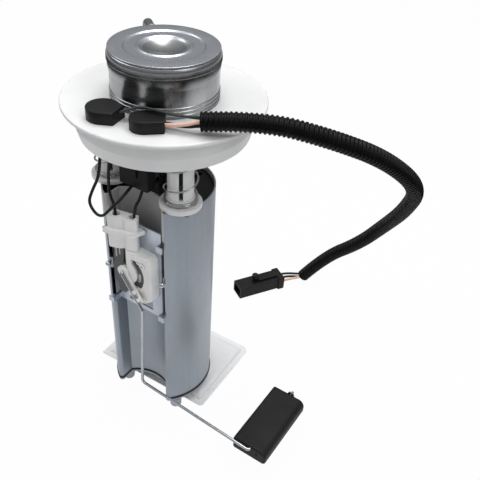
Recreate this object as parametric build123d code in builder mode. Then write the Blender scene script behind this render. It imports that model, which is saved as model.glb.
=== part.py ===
from build123d import *
import math
import os

os.makedirs("parts", exist_ok=True)

# In-tank fuel pump module. Millimetres, +Z up, origin on the flange axis at the face
# of the lip that seats on the tank. The sender side faces -Y.

# Flange
lip_width = 8.2
lip_thickness = 3.0
lip_edge_radius = 1.2
deck_thickness = 4.0
spigot_radius = 64.8
spigot_length = 12.0
skirt_tip_radius = 62.0
skirt_depth = 22.5
skirt_wall = 3.0
gusset_thickness = 2.4
gusset_reach = 7.0
gusset_height = 12.0
gusset_count = 7
can_recess_depth = 0.8
flange_radius = spigot_radius + lip_width
deck_under = lip_thickness - deck_thickness

# Filter can
can_radius = 38.1
can_wall = 0.9
can_foot_radius = 37.0
can_bead_radius = 1.1
can_bead_count = 3
can_body_height = 24.5
lid_bulge_radius = 39.5
lid_plate_thickness = 1.1
lid_neck_radius = 35.2
lid_neck_height = 1.0
lid_top_radius = 36.2
lid_height = 12.4
lid_overlap = 1.6
lid_step_radius = 27.2
lid_step_depth = 0.9
bowl_radius = 17.8
bowl_depth = 4.6
bowl_lip_height = 0.9
can_seat = lip_thickness - can_recess_depth
lid_skirt_z = can_seat + can_body_height
can_top_z = lid_skirt_z + lid_height

# Outlet tube
outlet_direction = 140.4
outlet_tube_radius = 4.0
outlet_bore_radius = 2.9
outlet_bead_radius = 4.9
outlet_bead_width = 1.8
outlet_reach = 61.9
outlet_seat_length = 14.6
outlet_tip_radius = 0.8
outlet_drop = 7.2

# Filter element and regulator inside the can
element_outer_radius = 33.0
element_inner_radius = 17.0
element_pleats = 36
end_cap_thickness = 1.6
element_clearance = 1.5
regulator_centre = (-4.5, 5.5)
regulator_radius = 8.0
regulator_wall = 1.0
regulator_height = 17.0
regulator_port_radius = 2.2
regulator_seat_radius = 3.4
regulator_seat_height = 3.0
regulator_valve_radius = 5.6
regulator_valve_thickness = 2.0
regulator_spring_radius = 4.2
regulator_spring_wire = 0.6
regulator_spring_turns = 4

# Terminal caps on the flange
sender_cap_centre = (-9.5, -52.5)
sender_cap_radius = 11.5
sender_cap_length = 15.5
sender_cap_width = 15.0
sender_cap_angle = 18.0
pump_cap_centre = (22.0, -46.0)
pump_cap_radius = 9.0
pump_cap_length = 16.0
pump_cap_width = 13.5
pump_cap_angle = 20.0
cap_height = 8.5
cap_wall = 1.8
cap_edge_radius = 1.4
pin_radius = 1.2
pin_spacing = 7.0
pin_below_deck = 7.0
pin_above_deck = 4.5

# Telescopic struts and return springs
strut_centre_x = 3.05
strut_spacing = 64.5
strut_y = -28.5
guide_radius = 9.5
guide_bore_radius = 7.0
strut_fit = 0.08
post_bore_radius = 4.6
post_recess = 2.0
post_length = 41.6
travel = 17.0
guide_top_z = -22.0
guide_height = 37.8
guide_foot_radius = 10.6
guide_foot_height = 4.0
collar_radius = 15.5
collar_thickness = 3.2
guide_floor = 1.6
slot_width = 2.8
slot_length = 24.0
slot_angle = -51.0
lug_height = 5.0
lug_reach = 1.6
end_clearance = 0.4
insert_radius = 4.8
insert_length = 9.0
spring_wire_radius = 0.7
spring_foot_mean_radius = 11.7
spring_head_mean_radius = 13.3
spring_closed_turns = 3
spring_open_turns = 3.5
post_radius = guide_bore_radius - strut_fit

# Reservoir
shell_centre = (4.8, -15.4)
shell_radius = 42.6
shell_wall = 1.0
shell_length = 200.0
channel_centre_x = 8.5
channel_width = 44.0
channel_depth = 28.0
channel_floor_radius = 31.0
lobe_edge_radius = 2.6
smallest_edge_radius = 0.4
window_width = 3.2
window_height = 4.0
window_drop = 1.6
lacing_slot_width = 2.6
upper_slot_drop = 25.2
upper_slot_length = 34.0
lower_slot_drop = 69.2
lower_slot_length = 29.0
seal_thickness = 1.0
seal_overhang = 0.3
base_thickness = 3.0
base_upstand_height = 5.0
base_upstand_wall = 2.0
fit_gap = 0.25
foot_height = 10.2
foot_radius = 5.0
foot_setback = 20.5
foot_spread = 27.5
cover_recess = 3.6
cover_thickness = 2.6
cover_skirt_height = 8.0
cover_slot_count = 5
cover_slot_width = 3.0
cover_slot_length = 24.0
cover_hose_hole_radius = 8.5
cover_lead_hole_centre = (-2.8, -24.6)
cover_lead_hole_length = 11.0
cover_lead_hole_width = 7.0
shell_top_z = guide_top_z - guide_height
shell_front_y = shell_centre[1] - shell_radius
channel_floor_y = shell_front_y + channel_depth
upper_slot_top_z = shell_top_z - upper_slot_drop
lower_slot_top_z = shell_top_z - lower_slot_drop
shell_bottom_z = shell_top_z - shell_length
base_top_z = shell_bottom_z - seal_thickness
base_bottom_z = base_top_z - base_thickness
floor_z = base_bottom_z - foot_height
foot_y = shell_front_y + foot_setback

# Strainer
strainer_length = 116.0
strainer_width = 84.0
strainer_thickness = 3.6
strainer_centre = (-1.8, 12.0)
strainer_turn = 2.0
strainer_round_corner = 22.0
strainer_small_corner = 4.0
strainer_neck_radius = 12.0
strainer_neck_wall = 2.0

# Pump
pump_axis = (5.0, -6.5)
pump_radius = 19.0
pump_wall = 1.0
pump_stand_off = 3.3
inlet_cover_height = 9.5
channel_plate_thickness = 3.0
pump_height = 96.0
outlet_cover_height = 9.0
outlet_neck_height = 8.0
pump_nipple_radius = 4.0
pump_nipple_bore = 2.6
pump_nipple_height = 17.0
inlet_nozzle_radius = 6.0
inlet_nozzle_bore = 4.2
inlet_nozzle_length = 9.0
inlet_offset_y = 9.0
impeller_radius = 15.2
impeller_thickness = 3.6
impeller_vanes = 36
impeller_gap = 0.2
shaft_radius = 2.0
bearing_fit = 0.05
magnet_thickness = 2.4
magnet_arc = 140.0
magnet_height = 46.0
armature_radius = 14.2
armature_height = 40.0
armature_slots = 8
commutator_radius = 6.5
commutator_height = 9.0
commutator_bars = 8
brush_size = 4.0
brush_gap = 0.15
isolator_wall = 2.4
isolator_height = 16.0
poppet_radius = 2.2
poppet_lift = 2.0
poppet_height = 5.0
pump_bottom_z = base_top_z + pump_stand_off

# Hose between the pump and the flange
hose_radius = 6.0
hose_ribs = 30
flange_nipple_length = 14.0
clamp_thickness = 0.8
clamp_height = 7.0

# Level sender
bracket_thickness = 1.0
bracket_setback = 12.5
bracket_drop = 20.2
bracket_height = 84.0
bracket_edge_gap = 0.3
tab_height = 5.0
upper_tab_drop = 10.5
lower_tab_rise = 3.5
rivet_head_radius = 2.3
housing_left_x = 3.2
housing_right_x = 27.0
housing_drop = 20.5
housing_height = 46.5
housing_depth = 9.3
housing_wall = 1.8
wing_left_x = -8.0
wing_drop = 3.5
wing_height = 32.0
wing_depth = 5.4
pivot_x = 0.9
pivot_drop = 21.1
pivot_boss_radius = 5.2
pivot_boss_depth = 7.2
arc_window_inner = 12.5
arc_window_outer = 19.5
card_thickness = 1.2
card_left_x = -11.5
card_depth = 1.8
connector_depth = 10.0
connector_left_x = -11.8
connector_right_x = 15.5
connector_rise = 10.0
connector_height = 29.5
sender_flange_drop = 16.0
sender_flange_thickness = 3.0
cavity_radius = 3.0
arc_card_thickness = 1.0
arc_card_margin = 0.6
track_count = 6
track_thickness = 0.3
contact_ring_radius = 2.6
contact_ring_bore = 1.3
bracket_y = shell_front_y + bracket_setback
bracket_top_z = shell_top_z - bracket_drop
bracket_bottom_z = bracket_top_z - bracket_height
upper_tab_z = bracket_top_z - upper_tab_drop
lower_tab_z = bracket_bottom_z + lower_tab_rise
rivet_z = (upper_slot_top_z - upper_slot_length + lower_slot_top_z) / 2
housing_top_z = bracket_top_z - housing_drop
housing_bottom_z = housing_top_z - housing_height
wing_top_z = housing_top_z - wing_drop
wing_bottom_z = wing_top_z - wing_height
pivot_point = (pivot_x, housing_top_z - pivot_drop)
connector_top_z = bracket_top_z + connector_rise
connector_bottom_z = connector_top_z - connector_height
sender_flange_z = connector_top_z - sender_flange_drop

# Float arm and float
arm_wire_radius = 1.25
arm_stand_off = 12.9
arm_clip_reach = (16.6, -24.4)
arm_drop_reach = (19.7, -29.4)
arm_corner_x = 16.2
arm_corner_height = 36.0
float_axis_x = 126.0
float_axis_height = 29.5
arm_bend_radius = 4.0
float_length = 65.0
float_width = 31.0
float_height = 13.5
float_tilt = 0.0
float_offset = (-1.0, -4.4)
float_edge_radius = 3.6
float_end_gap = 0.6
arm_fit = 0.06
arm_stub = 4.5
push_nut_radius = 3.2
carrier_thickness = 1.2
carrier_gap = 0.3
carrier_hub_radius = 4.6
carrier_width = 6.0
clip_wall = 1.4
arm_y = bracket_y - arm_stand_off
arm_clip_point = (pivot_point[0] + arm_clip_reach[0], pivot_point[1] + arm_clip_reach[1])
arm_drop_point = (pivot_point[0] + arm_drop_reach[0], pivot_point[1] + arm_drop_reach[1])
arm_corner_point = (arm_corner_x, floor_z + arm_corner_height)
float_axis_point = (float_axis_x, floor_z + float_axis_height)

# Wiring
loom_radius = 6.6
loom_bore_radius = 5.2
loom_bore_depth = 12.0
lead_radius = 1.25
signal_radius = 0.8
tank_wire_radius = 1.1
lead_end_gap = 0.15

# Plug on the loom
plug_origin = (13.0, 134.5)
plug_angle = 58.5
plug_length = 46.0
plug_width = 17.0
plug_height = 13.5
plug_wall = 1.6
plug_mouth_depth = 18.0
plug_collar_length = 7.0
plug_collar_margin = 1.0
plug_edge_radius = 1.2
plug_latch_width = 8.0
plug_latch_height = 2.0
plug_latch_length = 22.0
plug_pin_size = 1.6
plug_pin_spacing = 4.0
plug_pin_count = 4
lock_radius = 2.8
lock_head_radius = 3.6
lock_height = 8.5


def save(piece, label):
    """Name a finished piece and write it to its own file."""
    piece.part.label = label
    export_step(piece.part, f"parts/{label}.step")


def bend_radii(points):
    """Give each corner of a route the largest arc that its two runs allow."""
    corners = [Vector(*point) for point in points]
    runs = [end - start for start, end in zip(corners, corners[1:])]
    radii = []
    for before, after in zip(runs, runs[1:]):
        half_turn = math.radians(before.get_angle(after)) / 2
        radii.append(0.45 * min(before.length, after.length) / math.tan(half_turn))
    return radii


def tube(label, points, radius):
    """Sweep a round section along straight runs joined by tangent arcs."""
    radii = bend_radii(points)
    with BuildPart() as piece:
        with BuildLine():
            route = FilletPolyline(*points, radius=radii)
        with BuildSketch(Plane(origin=route @ 0, z_dir=route % 0)):
            Circle(radius)
        sweep(path=route)
    length = route.length
    share = piece.part.volume / (math.pi * radius**2 * length)
    listed = ", ".join(f"{value:.1f}" for value in radii)
    print(f"{label}: length {length:.1f} mm, volume share {share:.3f}, bend radii {listed}")
    return piece


def reservoir_outline(margin):
    """Draw the reservoir's section, a circle with a half-pipe channel in front, moved out by a margin."""
    channel_centre = (channel_centre_x, channel_floor_y - channel_floor_radius)
    with BuildSketch(mode=Mode.PRIVATE) as channel:
        with Locations(channel_centre):
            Circle(channel_floor_radius - margin)
            Rectangle(channel_width - 2 * margin, 4 * channel_floor_radius, mode=Mode.INTERSECT)
    with BuildSketch(mode=Mode.PRIVATE) as outline:
        with Locations(shell_centre):
            Circle(shell_radius + margin)
        add(channel.sketch, mode=Mode.SUBTRACT)
        fillet(outline.vertices().sort_by(Axis.Y)[:2], max(lobe_edge_radius + margin, smallest_edge_radius))
    return outline.sketch


# Flange: a thin lip on a tapered skirt that enters the tank opening
pump_x = pump_axis[0]
pump_y = pump_axis[1]
strut_points = [
    (strut_centre_x - strut_spacing / 2, strut_y),
    (strut_centre_x + strut_spacing / 2, strut_y),
]
cap_places = [
    (sender_cap_centre, sender_cap_angle),
    (pump_cap_centre, pump_cap_angle),
]
pin_points = []
for cap_centre, cap_angle in cap_places:
    for side in (-0.5, 0.5):
        along = side * pin_spacing
        pin_points.append(
            (
                cap_centre[0] + along * math.cos(math.radians(cap_angle)),
                cap_centre[1] + along * math.sin(math.radians(cap_angle)),
            )
        )
with BuildPart() as flange:
    with BuildSketch(Plane.XZ):
        with BuildLine():
            Polyline(
                (0, lip_thickness),
                (flange_radius, lip_thickness),
                (flange_radius, 0),
                (spigot_radius, 0),
                (spigot_radius, -spigot_length),
                (skirt_tip_radius, -skirt_depth),
                (skirt_tip_radius - skirt_wall, -skirt_depth),
                (spigot_radius - skirt_wall, -spigot_length),
                (spigot_radius - skirt_wall, deck_under),
                (0, deck_under),
                close=True,
            )
        make_face()
    revolve(axis=Axis.Z)
    rim = flange.edges().filter_by(GeomType.CIRCLE).group_by(SortBy.RADIUS)[-1]
    fillet(rim, lip_edge_radius)
    with BuildSketch(Plane.XZ.offset(-gusset_thickness / 2)) as gusset:
        with BuildLine():
            Polyline(
                (spigot_radius - skirt_wall / 2, deck_under + 0.5),
                (spigot_radius - skirt_wall - gusset_reach, deck_under + 0.5),
                (spigot_radius - skirt_wall - gusset_reach, deck_under),
                (spigot_radius - skirt_wall, deck_under - gusset_height),
                (spigot_radius - skirt_wall / 2, deck_under - gusset_height),
                close=True,
            )
        make_face()
    gusset_body = extrude(amount=gusset_thickness, mode=Mode.PRIVATE)
    with PolarLocations(0, gusset_count, start_angle=0, angular_range=180):
        add(gusset_body)
    with BuildSketch(Plane.XY.offset(lip_thickness)):
        Circle(can_radius + fit_gap)
    extrude(amount=-can_recess_depth, mode=Mode.SUBTRACT)
    with BuildSketch(Plane.XY.offset(deck_under)):
        with Locations(pump_axis):
            Circle(pump_nipple_radius)
    extrude(amount=-flange_nipple_length)
    with BuildSketch(Plane.XY.offset(lip_thickness)):
        with Locations(pump_axis):
            Circle(pump_nipple_bore)
    extrude(amount=-(deck_thickness + flange_nipple_length), mode=Mode.SUBTRACT)
    with BuildSketch(Plane.XY.offset(deck_under)):
        with Locations(*strut_points):
            Circle(post_radius)
    extrude(amount=post_recess, mode=Mode.SUBTRACT)
    with BuildSketch(Plane.XY.offset(lip_thickness)):
        with Locations(*pin_points):
            Circle(pin_radius)
    extrude(amount=-deck_thickness, mode=Mode.SUBTRACT)
save(flange, "flange")

# Filter can body: a drawn cup with rolled beads round its foot
with BuildPart() as filter_can_body:
    with BuildSketch(Plane.XZ) as cup_profile:
        with BuildLine():
            Polyline(
                (0, can_seat),
                (can_foot_radius, can_seat),
                (can_radius, can_seat + can_wall),
                (can_radius, lid_skirt_z),
                (0, lid_skirt_z),
                close=True,
            )
        make_face()
    revolve(axis=Axis.Z)
    bead_pitch = 2.4 * can_bead_radius
    with BuildSketch(Plane.XZ):
        for bead in range(can_bead_count):
            with Locations((can_radius - 0.45 * can_bead_radius, can_seat + 2.6 + bead * bead_pitch)):
                Circle(can_bead_radius)
    revolve(axis=Axis.Z)
    with BuildSketch(Plane.XY.offset(can_seat + can_wall)):
        Circle(can_radius - can_wall)
    extrude(amount=can_body_height, mode=Mode.SUBTRACT)
    with BuildSketch(Plane.XY.offset(can_seat)):
        with Locations(pump_axis):
            Circle(pump_nipple_bore)
    extrude(amount=can_wall, mode=Mode.SUBTRACT)
save(filter_can_body, "filter_can_body")

# Filter can lid: a barrel skirt, a crisp-edged top plate, a stepped ring and a dished centre
plate_low_z = can_top_z - lid_plate_thickness
ring_z = can_top_z - lid_step_depth
dish_edge = bowl_radius - 1.2
dish_radius = (dish_edge**2 + bowl_depth**2) / (2 * bowl_depth)
dish_centre_z = ring_z - bowl_depth + dish_radius
dish_half_angle = math.asin(dish_edge / dish_radius) / 2
outlet_z = can_top_z - outlet_drop
outlet_plane = Plane(
    (0, 0, outlet_z),
    x_dir=(0, 0, 1),
    z_dir=Vector(1, 0, 0).rotate(Axis.Z, outlet_direction),
)
with BuildPart() as filter_can_lid:
    with BuildSketch(Plane.XZ):
        with BuildLine():
            Polyline(
                (can_radius, lid_skirt_z),
                (can_radius, lid_skirt_z - lid_overlap),
                (can_radius + can_wall, lid_skirt_z - lid_overlap),
                (can_radius + can_wall, lid_skirt_z),
            )
            ThreePointArc(
                (can_radius + can_wall, lid_skirt_z),
                (lid_bulge_radius, lid_skirt_z + 0.45 * lid_height),
                (lid_top_radius + 0.9, plate_low_z - lid_neck_height),
            )
            Polyline(
                (lid_top_radius + 0.9, plate_low_z - lid_neck_height),
                (lid_neck_radius, plate_low_z),
                (lid_top_radius, plate_low_z),
                (lid_top_radius, can_top_z),
                (lid_step_radius + 0.8, can_top_z),
                (lid_step_radius, ring_z),
                (bowl_radius + 1.6, ring_z),
                (bowl_radius, ring_z + bowl_lip_height),
                (dish_edge, ring_z),
            )
            ThreePointArc(
                (dish_edge, ring_z),
                (dish_radius * math.sin(dish_half_angle), dish_centre_z - dish_radius * math.cos(dish_half_angle)),
                (0, ring_z - bowl_depth),
            )
            Polyline(
                (0, ring_z - bowl_depth),
                (0, ring_z - bowl_depth - can_wall),
                (0.6 * dish_edge, ring_z - 0.85 * bowl_depth - can_wall),
                (dish_edge, ring_z - 2 * can_wall),
                (lid_neck_radius - 1.4, ring_z - can_wall),
                (lid_neck_radius - 1.4, plate_low_z - lid_neck_height),
                (can_radius, lid_skirt_z),
            )
        make_face()
    revolve(axis=Axis.Z)
    with BuildSketch(outlet_plane.offset(lid_neck_radius - 3.0)):
        Circle(outlet_tube_radius)
    extrude(amount=can_radius, mode=Mode.SUBTRACT)
save(filter_can_lid, "filter_can_lid")

# Outlet tube: a beaded steel tube that leaves the back of the lid
bead_at = outlet_reach - outlet_seat_length - outlet_bead_width
with BuildPart() as fuel_outlet_tube:
    with BuildSketch(outlet_plane.offset(lid_neck_radius - 3.0)):
        Circle(outlet_tube_radius)
    extrude(amount=outlet_reach - lid_neck_radius + 3.0)
    with BuildSketch(outlet_plane.offset(bead_at)):
        Circle(outlet_bead_radius)
    extrude(amount=outlet_bead_width)
    fillet(fuel_outlet_tube.edges().filter_by(GeomType.CIRCLE).group_by(SortBy.RADIUS)[-1], 0.6)
    outlet_axis = Axis(outlet_plane.origin, outlet_plane.z_dir)
    fillet(fuel_outlet_tube.faces().sort_by(outlet_axis)[-1].edges(), outlet_tip_radius)
    with BuildSketch(outlet_plane.offset(lid_neck_radius - 3.0)):
        Circle(outlet_bore_radius)
    extrude(amount=outlet_reach, mode=Mode.SUBTRACT)
save(fuel_outlet_tube, "fuel_outlet_tube")

# Filter element: a pleated paper ring between two end caps
element_bottom_z = can_seat + can_wall + element_clearance
element_top_z = element_bottom_z + regulator_height
pleat_step = 2 * math.pi / element_pleats
pleat_points = []
for pleat in range(element_pleats):
    ridge = pleat * pleat_step
    valley = (pleat + 0.5) * pleat_step
    pleat_points.append((element_outer_radius * math.cos(ridge), element_outer_radius * math.sin(ridge)))
    pleat_points.append((0.86 * element_outer_radius * math.cos(valley), 0.86 * element_outer_radius * math.sin(valley)))
with BuildPart() as filter_element:
    with BuildSketch(Plane.XY.offset(element_bottom_z)):
        with BuildLine():
            Polyline(*pleat_points, close=True)
        make_face()
        Circle(element_inner_radius, mode=Mode.SUBTRACT)
    extrude(amount=element_top_z - element_bottom_z)
    for cap_z in (element_bottom_z - element_clearance, element_top_z - end_cap_thickness):
        with BuildSketch(Plane.XY.offset(cap_z)):
            Circle(element_outer_radius + 1.0)
            Circle(element_inner_radius - 1.5, mode=Mode.SUBTRACT)
        extrude(amount=end_cap_thickness)
save(filter_element, "filter_element")

# Regulator: a cup with a ported seat, a sprung valve disc above the seat
regulator_x = regulator_centre[0]
regulator_y = regulator_centre[1]
regulator_axis = Axis((regulator_x, regulator_y, 0), (0, 0, 1))
regulator_bottom_z = can_seat + can_wall
regulator_seat_z = regulator_bottom_z + regulator_seat_height
regulator_roof_z = regulator_bottom_z + regulator_height
with BuildPart() as regulator_housing:
    with BuildSketch(Plane.XZ.offset(-regulator_y)):
        with BuildLine():
            Polyline(
                (regulator_x + regulator_port_radius, regulator_bottom_z),
                (regulator_x + regulator_radius, regulator_bottom_z),
                (regulator_x + regulator_radius, regulator_roof_z),
                (regulator_x + regulator_port_radius, regulator_roof_z),
                (regulator_x + regulator_port_radius, regulator_roof_z - regulator_wall),
                (regulator_x + regulator_radius - regulator_wall, regulator_roof_z - regulator_wall),
                (regulator_x + regulator_radius - regulator_wall, regulator_bottom_z + regulator_wall),
                (regulator_x + regulator_seat_radius, regulator_bottom_z + regulator_wall),
                (regulator_x + regulator_seat_radius, regulator_seat_z),
                (regulator_x + regulator_port_radius, regulator_seat_z),
                close=True,
            )
        make_face()
    revolve(axis=regulator_axis)
save(regulator_housing, "regulator_housing")

valve_top_z = regulator_seat_z + regulator_valve_thickness
with BuildPart() as regulator_valve:
    with BuildSketch(Plane.XZ.offset(-regulator_y)):
        with BuildLine():
            Polyline(
                (regulator_x, regulator_seat_z),
                (regulator_x + regulator_seat_radius, regulator_seat_z),
                (regulator_x + regulator_valve_radius, valve_top_z - 0.8),
                (regulator_x + regulator_valve_radius, valve_top_z),
                (regulator_x + regulator_spring_radius - 1.2, valve_top_z),
                (regulator_x + regulator_spring_radius - 1.6, valve_top_z + 1.5),
                (regulator_x, valve_top_z + 1.5),
                close=True,
            )
        make_face()
    revolve(axis=regulator_axis)
save(regulator_valve, "regulator_valve")

ring_bottom_z = valve_top_z + regulator_spring_wire / 2
ring_top_z = regulator_roof_z - regulator_wall - regulator_spring_wire / 2
with BuildPart() as regulator_spring:
    with BuildLine() as regulator_helix:
        Helix(
            pitch=(ring_top_z - ring_bottom_z) / regulator_spring_turns,
            height=ring_top_z - ring_bottom_z,
            radius=regulator_spring_radius,
            center=(regulator_x, regulator_y, ring_bottom_z),
        )
    with BuildSketch(Plane(origin=regulator_helix.line @ 0, z_dir=regulator_helix.line % 0)):
        Circle(regulator_spring_wire / 2)
    sweep(path=regulator_helix.line, is_frenet=True)
    with BuildSketch(Plane.XZ.offset(-regulator_y)):
        with Locations(
            (regulator_x + regulator_spring_radius, ring_bottom_z),
            (regulator_x + regulator_spring_radius, ring_top_z),
        ):
            Circle(regulator_spring_wire / 2)
    revolve(axis=regulator_axis)
save(regulator_spring, "regulator_spring")

# Terminal caps: moulded D-shaped covers, each over two terminal pins
cap_sizes = [
    ("sender_terminal_cap", sender_cap_centre, sender_cap_angle, sender_cap_radius, sender_cap_length, sender_cap_width),
    ("pump_terminal_cap", pump_cap_centre, pump_cap_angle, pump_cap_radius, pump_cap_length, pump_cap_width),
]
for cap_label, cap_centre, cap_angle, cap_radius, cap_length, cap_width in cap_sizes:
    cap_plane = Plane((cap_centre[0], cap_centre[1], lip_thickness), x_dir=Vector(1, 0, 0).rotate(Axis.Z, cap_angle))
    with BuildPart() as terminal_cap:
        with BuildSketch(cap_plane) as cap_outline:
            Circle(cap_radius)
            with Locations((cap_length - 1.0, 0)):
                Rectangle(2.0, cap_width)
            make_hull()
        extrude(amount=cap_height)
        fillet(terminal_cap.faces().sort_by(Axis.Z)[-1].edges(), cap_edge_radius)
        with BuildSketch(cap_plane):
            Circle(cap_radius - cap_wall)
            with Locations((cap_length - cap_wall - 1.0, 0)):
                Rectangle(2.0, cap_width - 2 * cap_wall)
            make_hull()
        extrude(amount=cap_height - cap_wall, mode=Mode.SUBTRACT)
    save(terminal_cap, cap_label)

with BuildPart() as terminal_pins:
    with BuildSketch(Plane.XY.offset(deck_under - pin_below_deck)):
        with Locations(*pin_points):
            Circle(pin_radius)
    extrude(amount=pin_below_deck + deck_thickness + pin_above_deck)
save(terminal_pins, "terminal_pins")

# Strut posts: hollow pins fixed in the flange, each with a lug in its guide's slot
post_top_z = deck_under + post_recess
post_bottom_z = post_top_z - post_length
slot_top_z = guide_top_z - 5.5
slot_bottom_z = slot_top_z - slot_length
lug_top_z = slot_top_z - end_clearance
with BuildPart() as strut_posts:
    with BuildSketch(Plane.XY.offset(post_bottom_z)):
        with Locations(*strut_points):
            Circle(post_radius)
            Circle(post_bore_radius, mode=Mode.SUBTRACT)
    extrude(amount=post_length)
    for strut_point in strut_points:
        lug_plane = Plane(
            (strut_point[0], strut_point[1], lug_top_z - lug_height),
            x_dir=Vector(1, 0, 0).rotate(Axis.Z, slot_angle),
        )
        with BuildSketch(lug_plane):
            with Locations((post_radius + lug_reach / 2 - 0.5, 0)):
                Rectangle(lug_reach + 1.0, slot_width - 2 * end_clearance)
        extrude(amount=lug_height)
save(strut_posts, "strut_posts")

# Strut guides: slotted tubes with a spring collar that sits on the reservoir
collar_bottom_z = shell_top_z
collar_top_z = collar_bottom_z + collar_thickness
with BuildPart() as strut_guides:
    with BuildSketch(Plane.XY.offset(collar_bottom_z)):
        with Locations(*strut_points):
            Circle(collar_radius)
    extrude(amount=collar_thickness)
    fillet(strut_guides.faces().sort_by(Axis.Z)[-2:].edges(), 0.8)
    with BuildSketch(Plane.XY.offset(collar_top_z)):
        with Locations(*strut_points):
            Circle(guide_foot_radius)
    extrude(amount=guide_foot_height)
    with BuildSketch(Plane.XY.offset(collar_bottom_z)):
        with Locations(*strut_points):
            Circle(guide_radius)
    extrude(amount=guide_top_z - collar_bottom_z)
    with BuildSketch(Plane.XY.offset(collar_bottom_z + guide_floor)):
        with Locations(*strut_points):
            Circle(guide_bore_radius)
    extrude(amount=guide_top_z - collar_bottom_z, mode=Mode.SUBTRACT)
    with BuildSketch(Plane.XY.offset(collar_bottom_z)):
        with Locations(*strut_points):
            Circle(insert_radius)
            Circle(insert_radius - 2.0, mode=Mode.SUBTRACT)
    extrude(amount=-insert_length)
    for strut_point in strut_points:
        slot_plane = Plane(
            (strut_point[0], strut_point[1], slot_bottom_z),
            x_dir=Vector(1, 0, 0).rotate(Axis.Z, slot_angle),
        )
        with BuildSketch(slot_plane):
            with Locations((guide_radius, 0)):
                Rectangle(2 * (guide_radius - post_bore_radius), slot_width)
        extrude(amount=slot_length, mode=Mode.SUBTRACT)
save(strut_guides, "strut_guides")

# Return springs: open coils between closed end turns
spring_wire = 2 * spring_wire_radius
closed_height = spring_closed_turns * spring_wire * 0.95
spring_bottom_z = collar_top_z
spring_top_z = deck_under
coil_bottom_z = spring_bottom_z + closed_height - spring_wire_radius
coil_height = spring_top_z - spring_wire_radius - coil_bottom_z
coil_cone = math.degrees(math.atan2(spring_head_mean_radius - spring_foot_mean_radius, coil_height))
with BuildPart() as return_springs:
    for strut_point in strut_points:
        with BuildLine() as coil:
            Helix(
                pitch=coil_height / spring_open_turns,
                height=coil_height,
                radius=spring_foot_mean_radius,
                center=(strut_point[0], strut_point[1], coil_bottom_z),
                cone_angle=coil_cone,
            )
        with BuildSketch(Plane(origin=coil.line @ 0, z_dir=coil.line % 0)):
            Circle(spring_wire_radius)
        sweep(path=coil.line, is_frenet=True)
        closed_turns = [
            (spring_foot_mean_radius, spring_bottom_z + spring_wire_radius + turn * 0.95 * spring_wire)
            for turn in range(spring_closed_turns)
        ]
        closed_turns.append((spring_head_mean_radius, spring_top_z - spring_wire_radius))
        with BuildSketch(Plane.XZ.offset(-strut_point[1])):
            for turn_radius, turn_z in closed_turns:
                with Locations((strut_point[0] + turn_radius, turn_z)):
                    Circle(spring_wire_radius)
        revolve(axis=Axis((strut_point[0], strut_point[1], 0), (0, 0, 1)))
save(return_springs, "return_springs")

# Reservoir shell: an open-ended wrap with two rows of lacing slots in the lobes
with BuildPart() as reservoir_shell:
    with BuildSketch(Plane.XY.offset(shell_bottom_z)):
        add(reservoir_outline(0))
        add(reservoir_outline(-shell_wall), mode=Mode.SUBTRACT)
    extrude(amount=shell_length)
    for side in (-1, 1):
        lobe_x = channel_centre_x + side * (channel_width / 2 + 0.6 * lobe_edge_radius)
        lobe_y = -math.sqrt(shell_radius**2 - (lobe_x - shell_centre[0]) ** 2) + shell_centre[1]
        for slot_top, slot_span in ((upper_slot_top_z, upper_slot_length), (lower_slot_top_z, lower_slot_length)):
            with BuildSketch(Plane.XY.offset(slot_top)):
                with Locations((lobe_x, lobe_y)):
                    Rectangle(lacing_slot_width, 16.0)
            extrude(amount=-slot_span, mode=Mode.SUBTRACT)
        window_angle = math.degrees(
            math.atan2(
                strut_y - shell_centre[1],
                strut_centre_x + side * strut_spacing / 2 - shell_centre[0],
            )
        )
        window_plane = Plane(
            (shell_centre[0], shell_centre[1], shell_top_z - window_drop - window_height),
            x_dir=Vector(1, 0, 0).rotate(Axis.Z, window_angle),
        )
        with BuildSketch(window_plane):
            with Locations((shell_radius, 0)):
                Rectangle(4 * shell_wall, window_width)
        extrude(amount=window_height, mode=Mode.SUBTRACT)
save(reservoir_shell, "reservoir_shell")

# Reservoir cover: a black moulding just below the shell's top edge
with BuildPart() as reservoir_cover:
    cover_top_z = shell_top_z - cover_recess
    with BuildSketch(Plane.XY.offset(cover_top_z)):
        add(reservoir_outline(-shell_wall - fit_gap))
    extrude(amount=-cover_thickness)
    with BuildSketch(Plane.XY.offset(cover_top_z - cover_thickness)):
        add(reservoir_outline(-shell_wall - fit_gap))
        add(reservoir_outline(-shell_wall - fit_gap - 1.6), mode=Mode.SUBTRACT)
    extrude(amount=-cover_skirt_height)
    with BuildSketch(Plane.XY.offset(cover_top_z)):
        with Locations(pump_axis):
            Circle(cover_hose_hole_radius)
        with Locations(*strut_points):
            Circle(insert_radius + fit_gap)
        with Locations(cover_lead_hole_centre):
            SlotOverall(cover_lead_hole_length, cover_lead_hole_width)
    extrude(amount=-(cover_thickness + cover_skirt_height), mode=Mode.SUBTRACT)
    with BuildSketch(Plane.XY.offset(cover_top_z)):
        with Locations((shell_centre[0], shell_centre[1] + 0.66 * shell_radius)):
            with GridLocations(2.4 * cover_slot_width, 0, cover_slot_count, 1):
                Rectangle(cover_slot_width, cover_slot_length / 2)
    extrude(amount=-cover_thickness, mode=Mode.SUBTRACT)
save(reservoir_cover, "reservoir_cover")

# Base seal and base: a black gasket line over a rimmed floor with two feet
with BuildPart() as base_seal:
    with BuildSketch(Plane.XY.offset(base_top_z)):
        add(reservoir_outline(-seal_overhang))
        add(reservoir_outline(-2 * shell_wall + fit_gap), mode=Mode.SUBTRACT)
    extrude(amount=seal_thickness)
save(base_seal, "base_seal")

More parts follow.
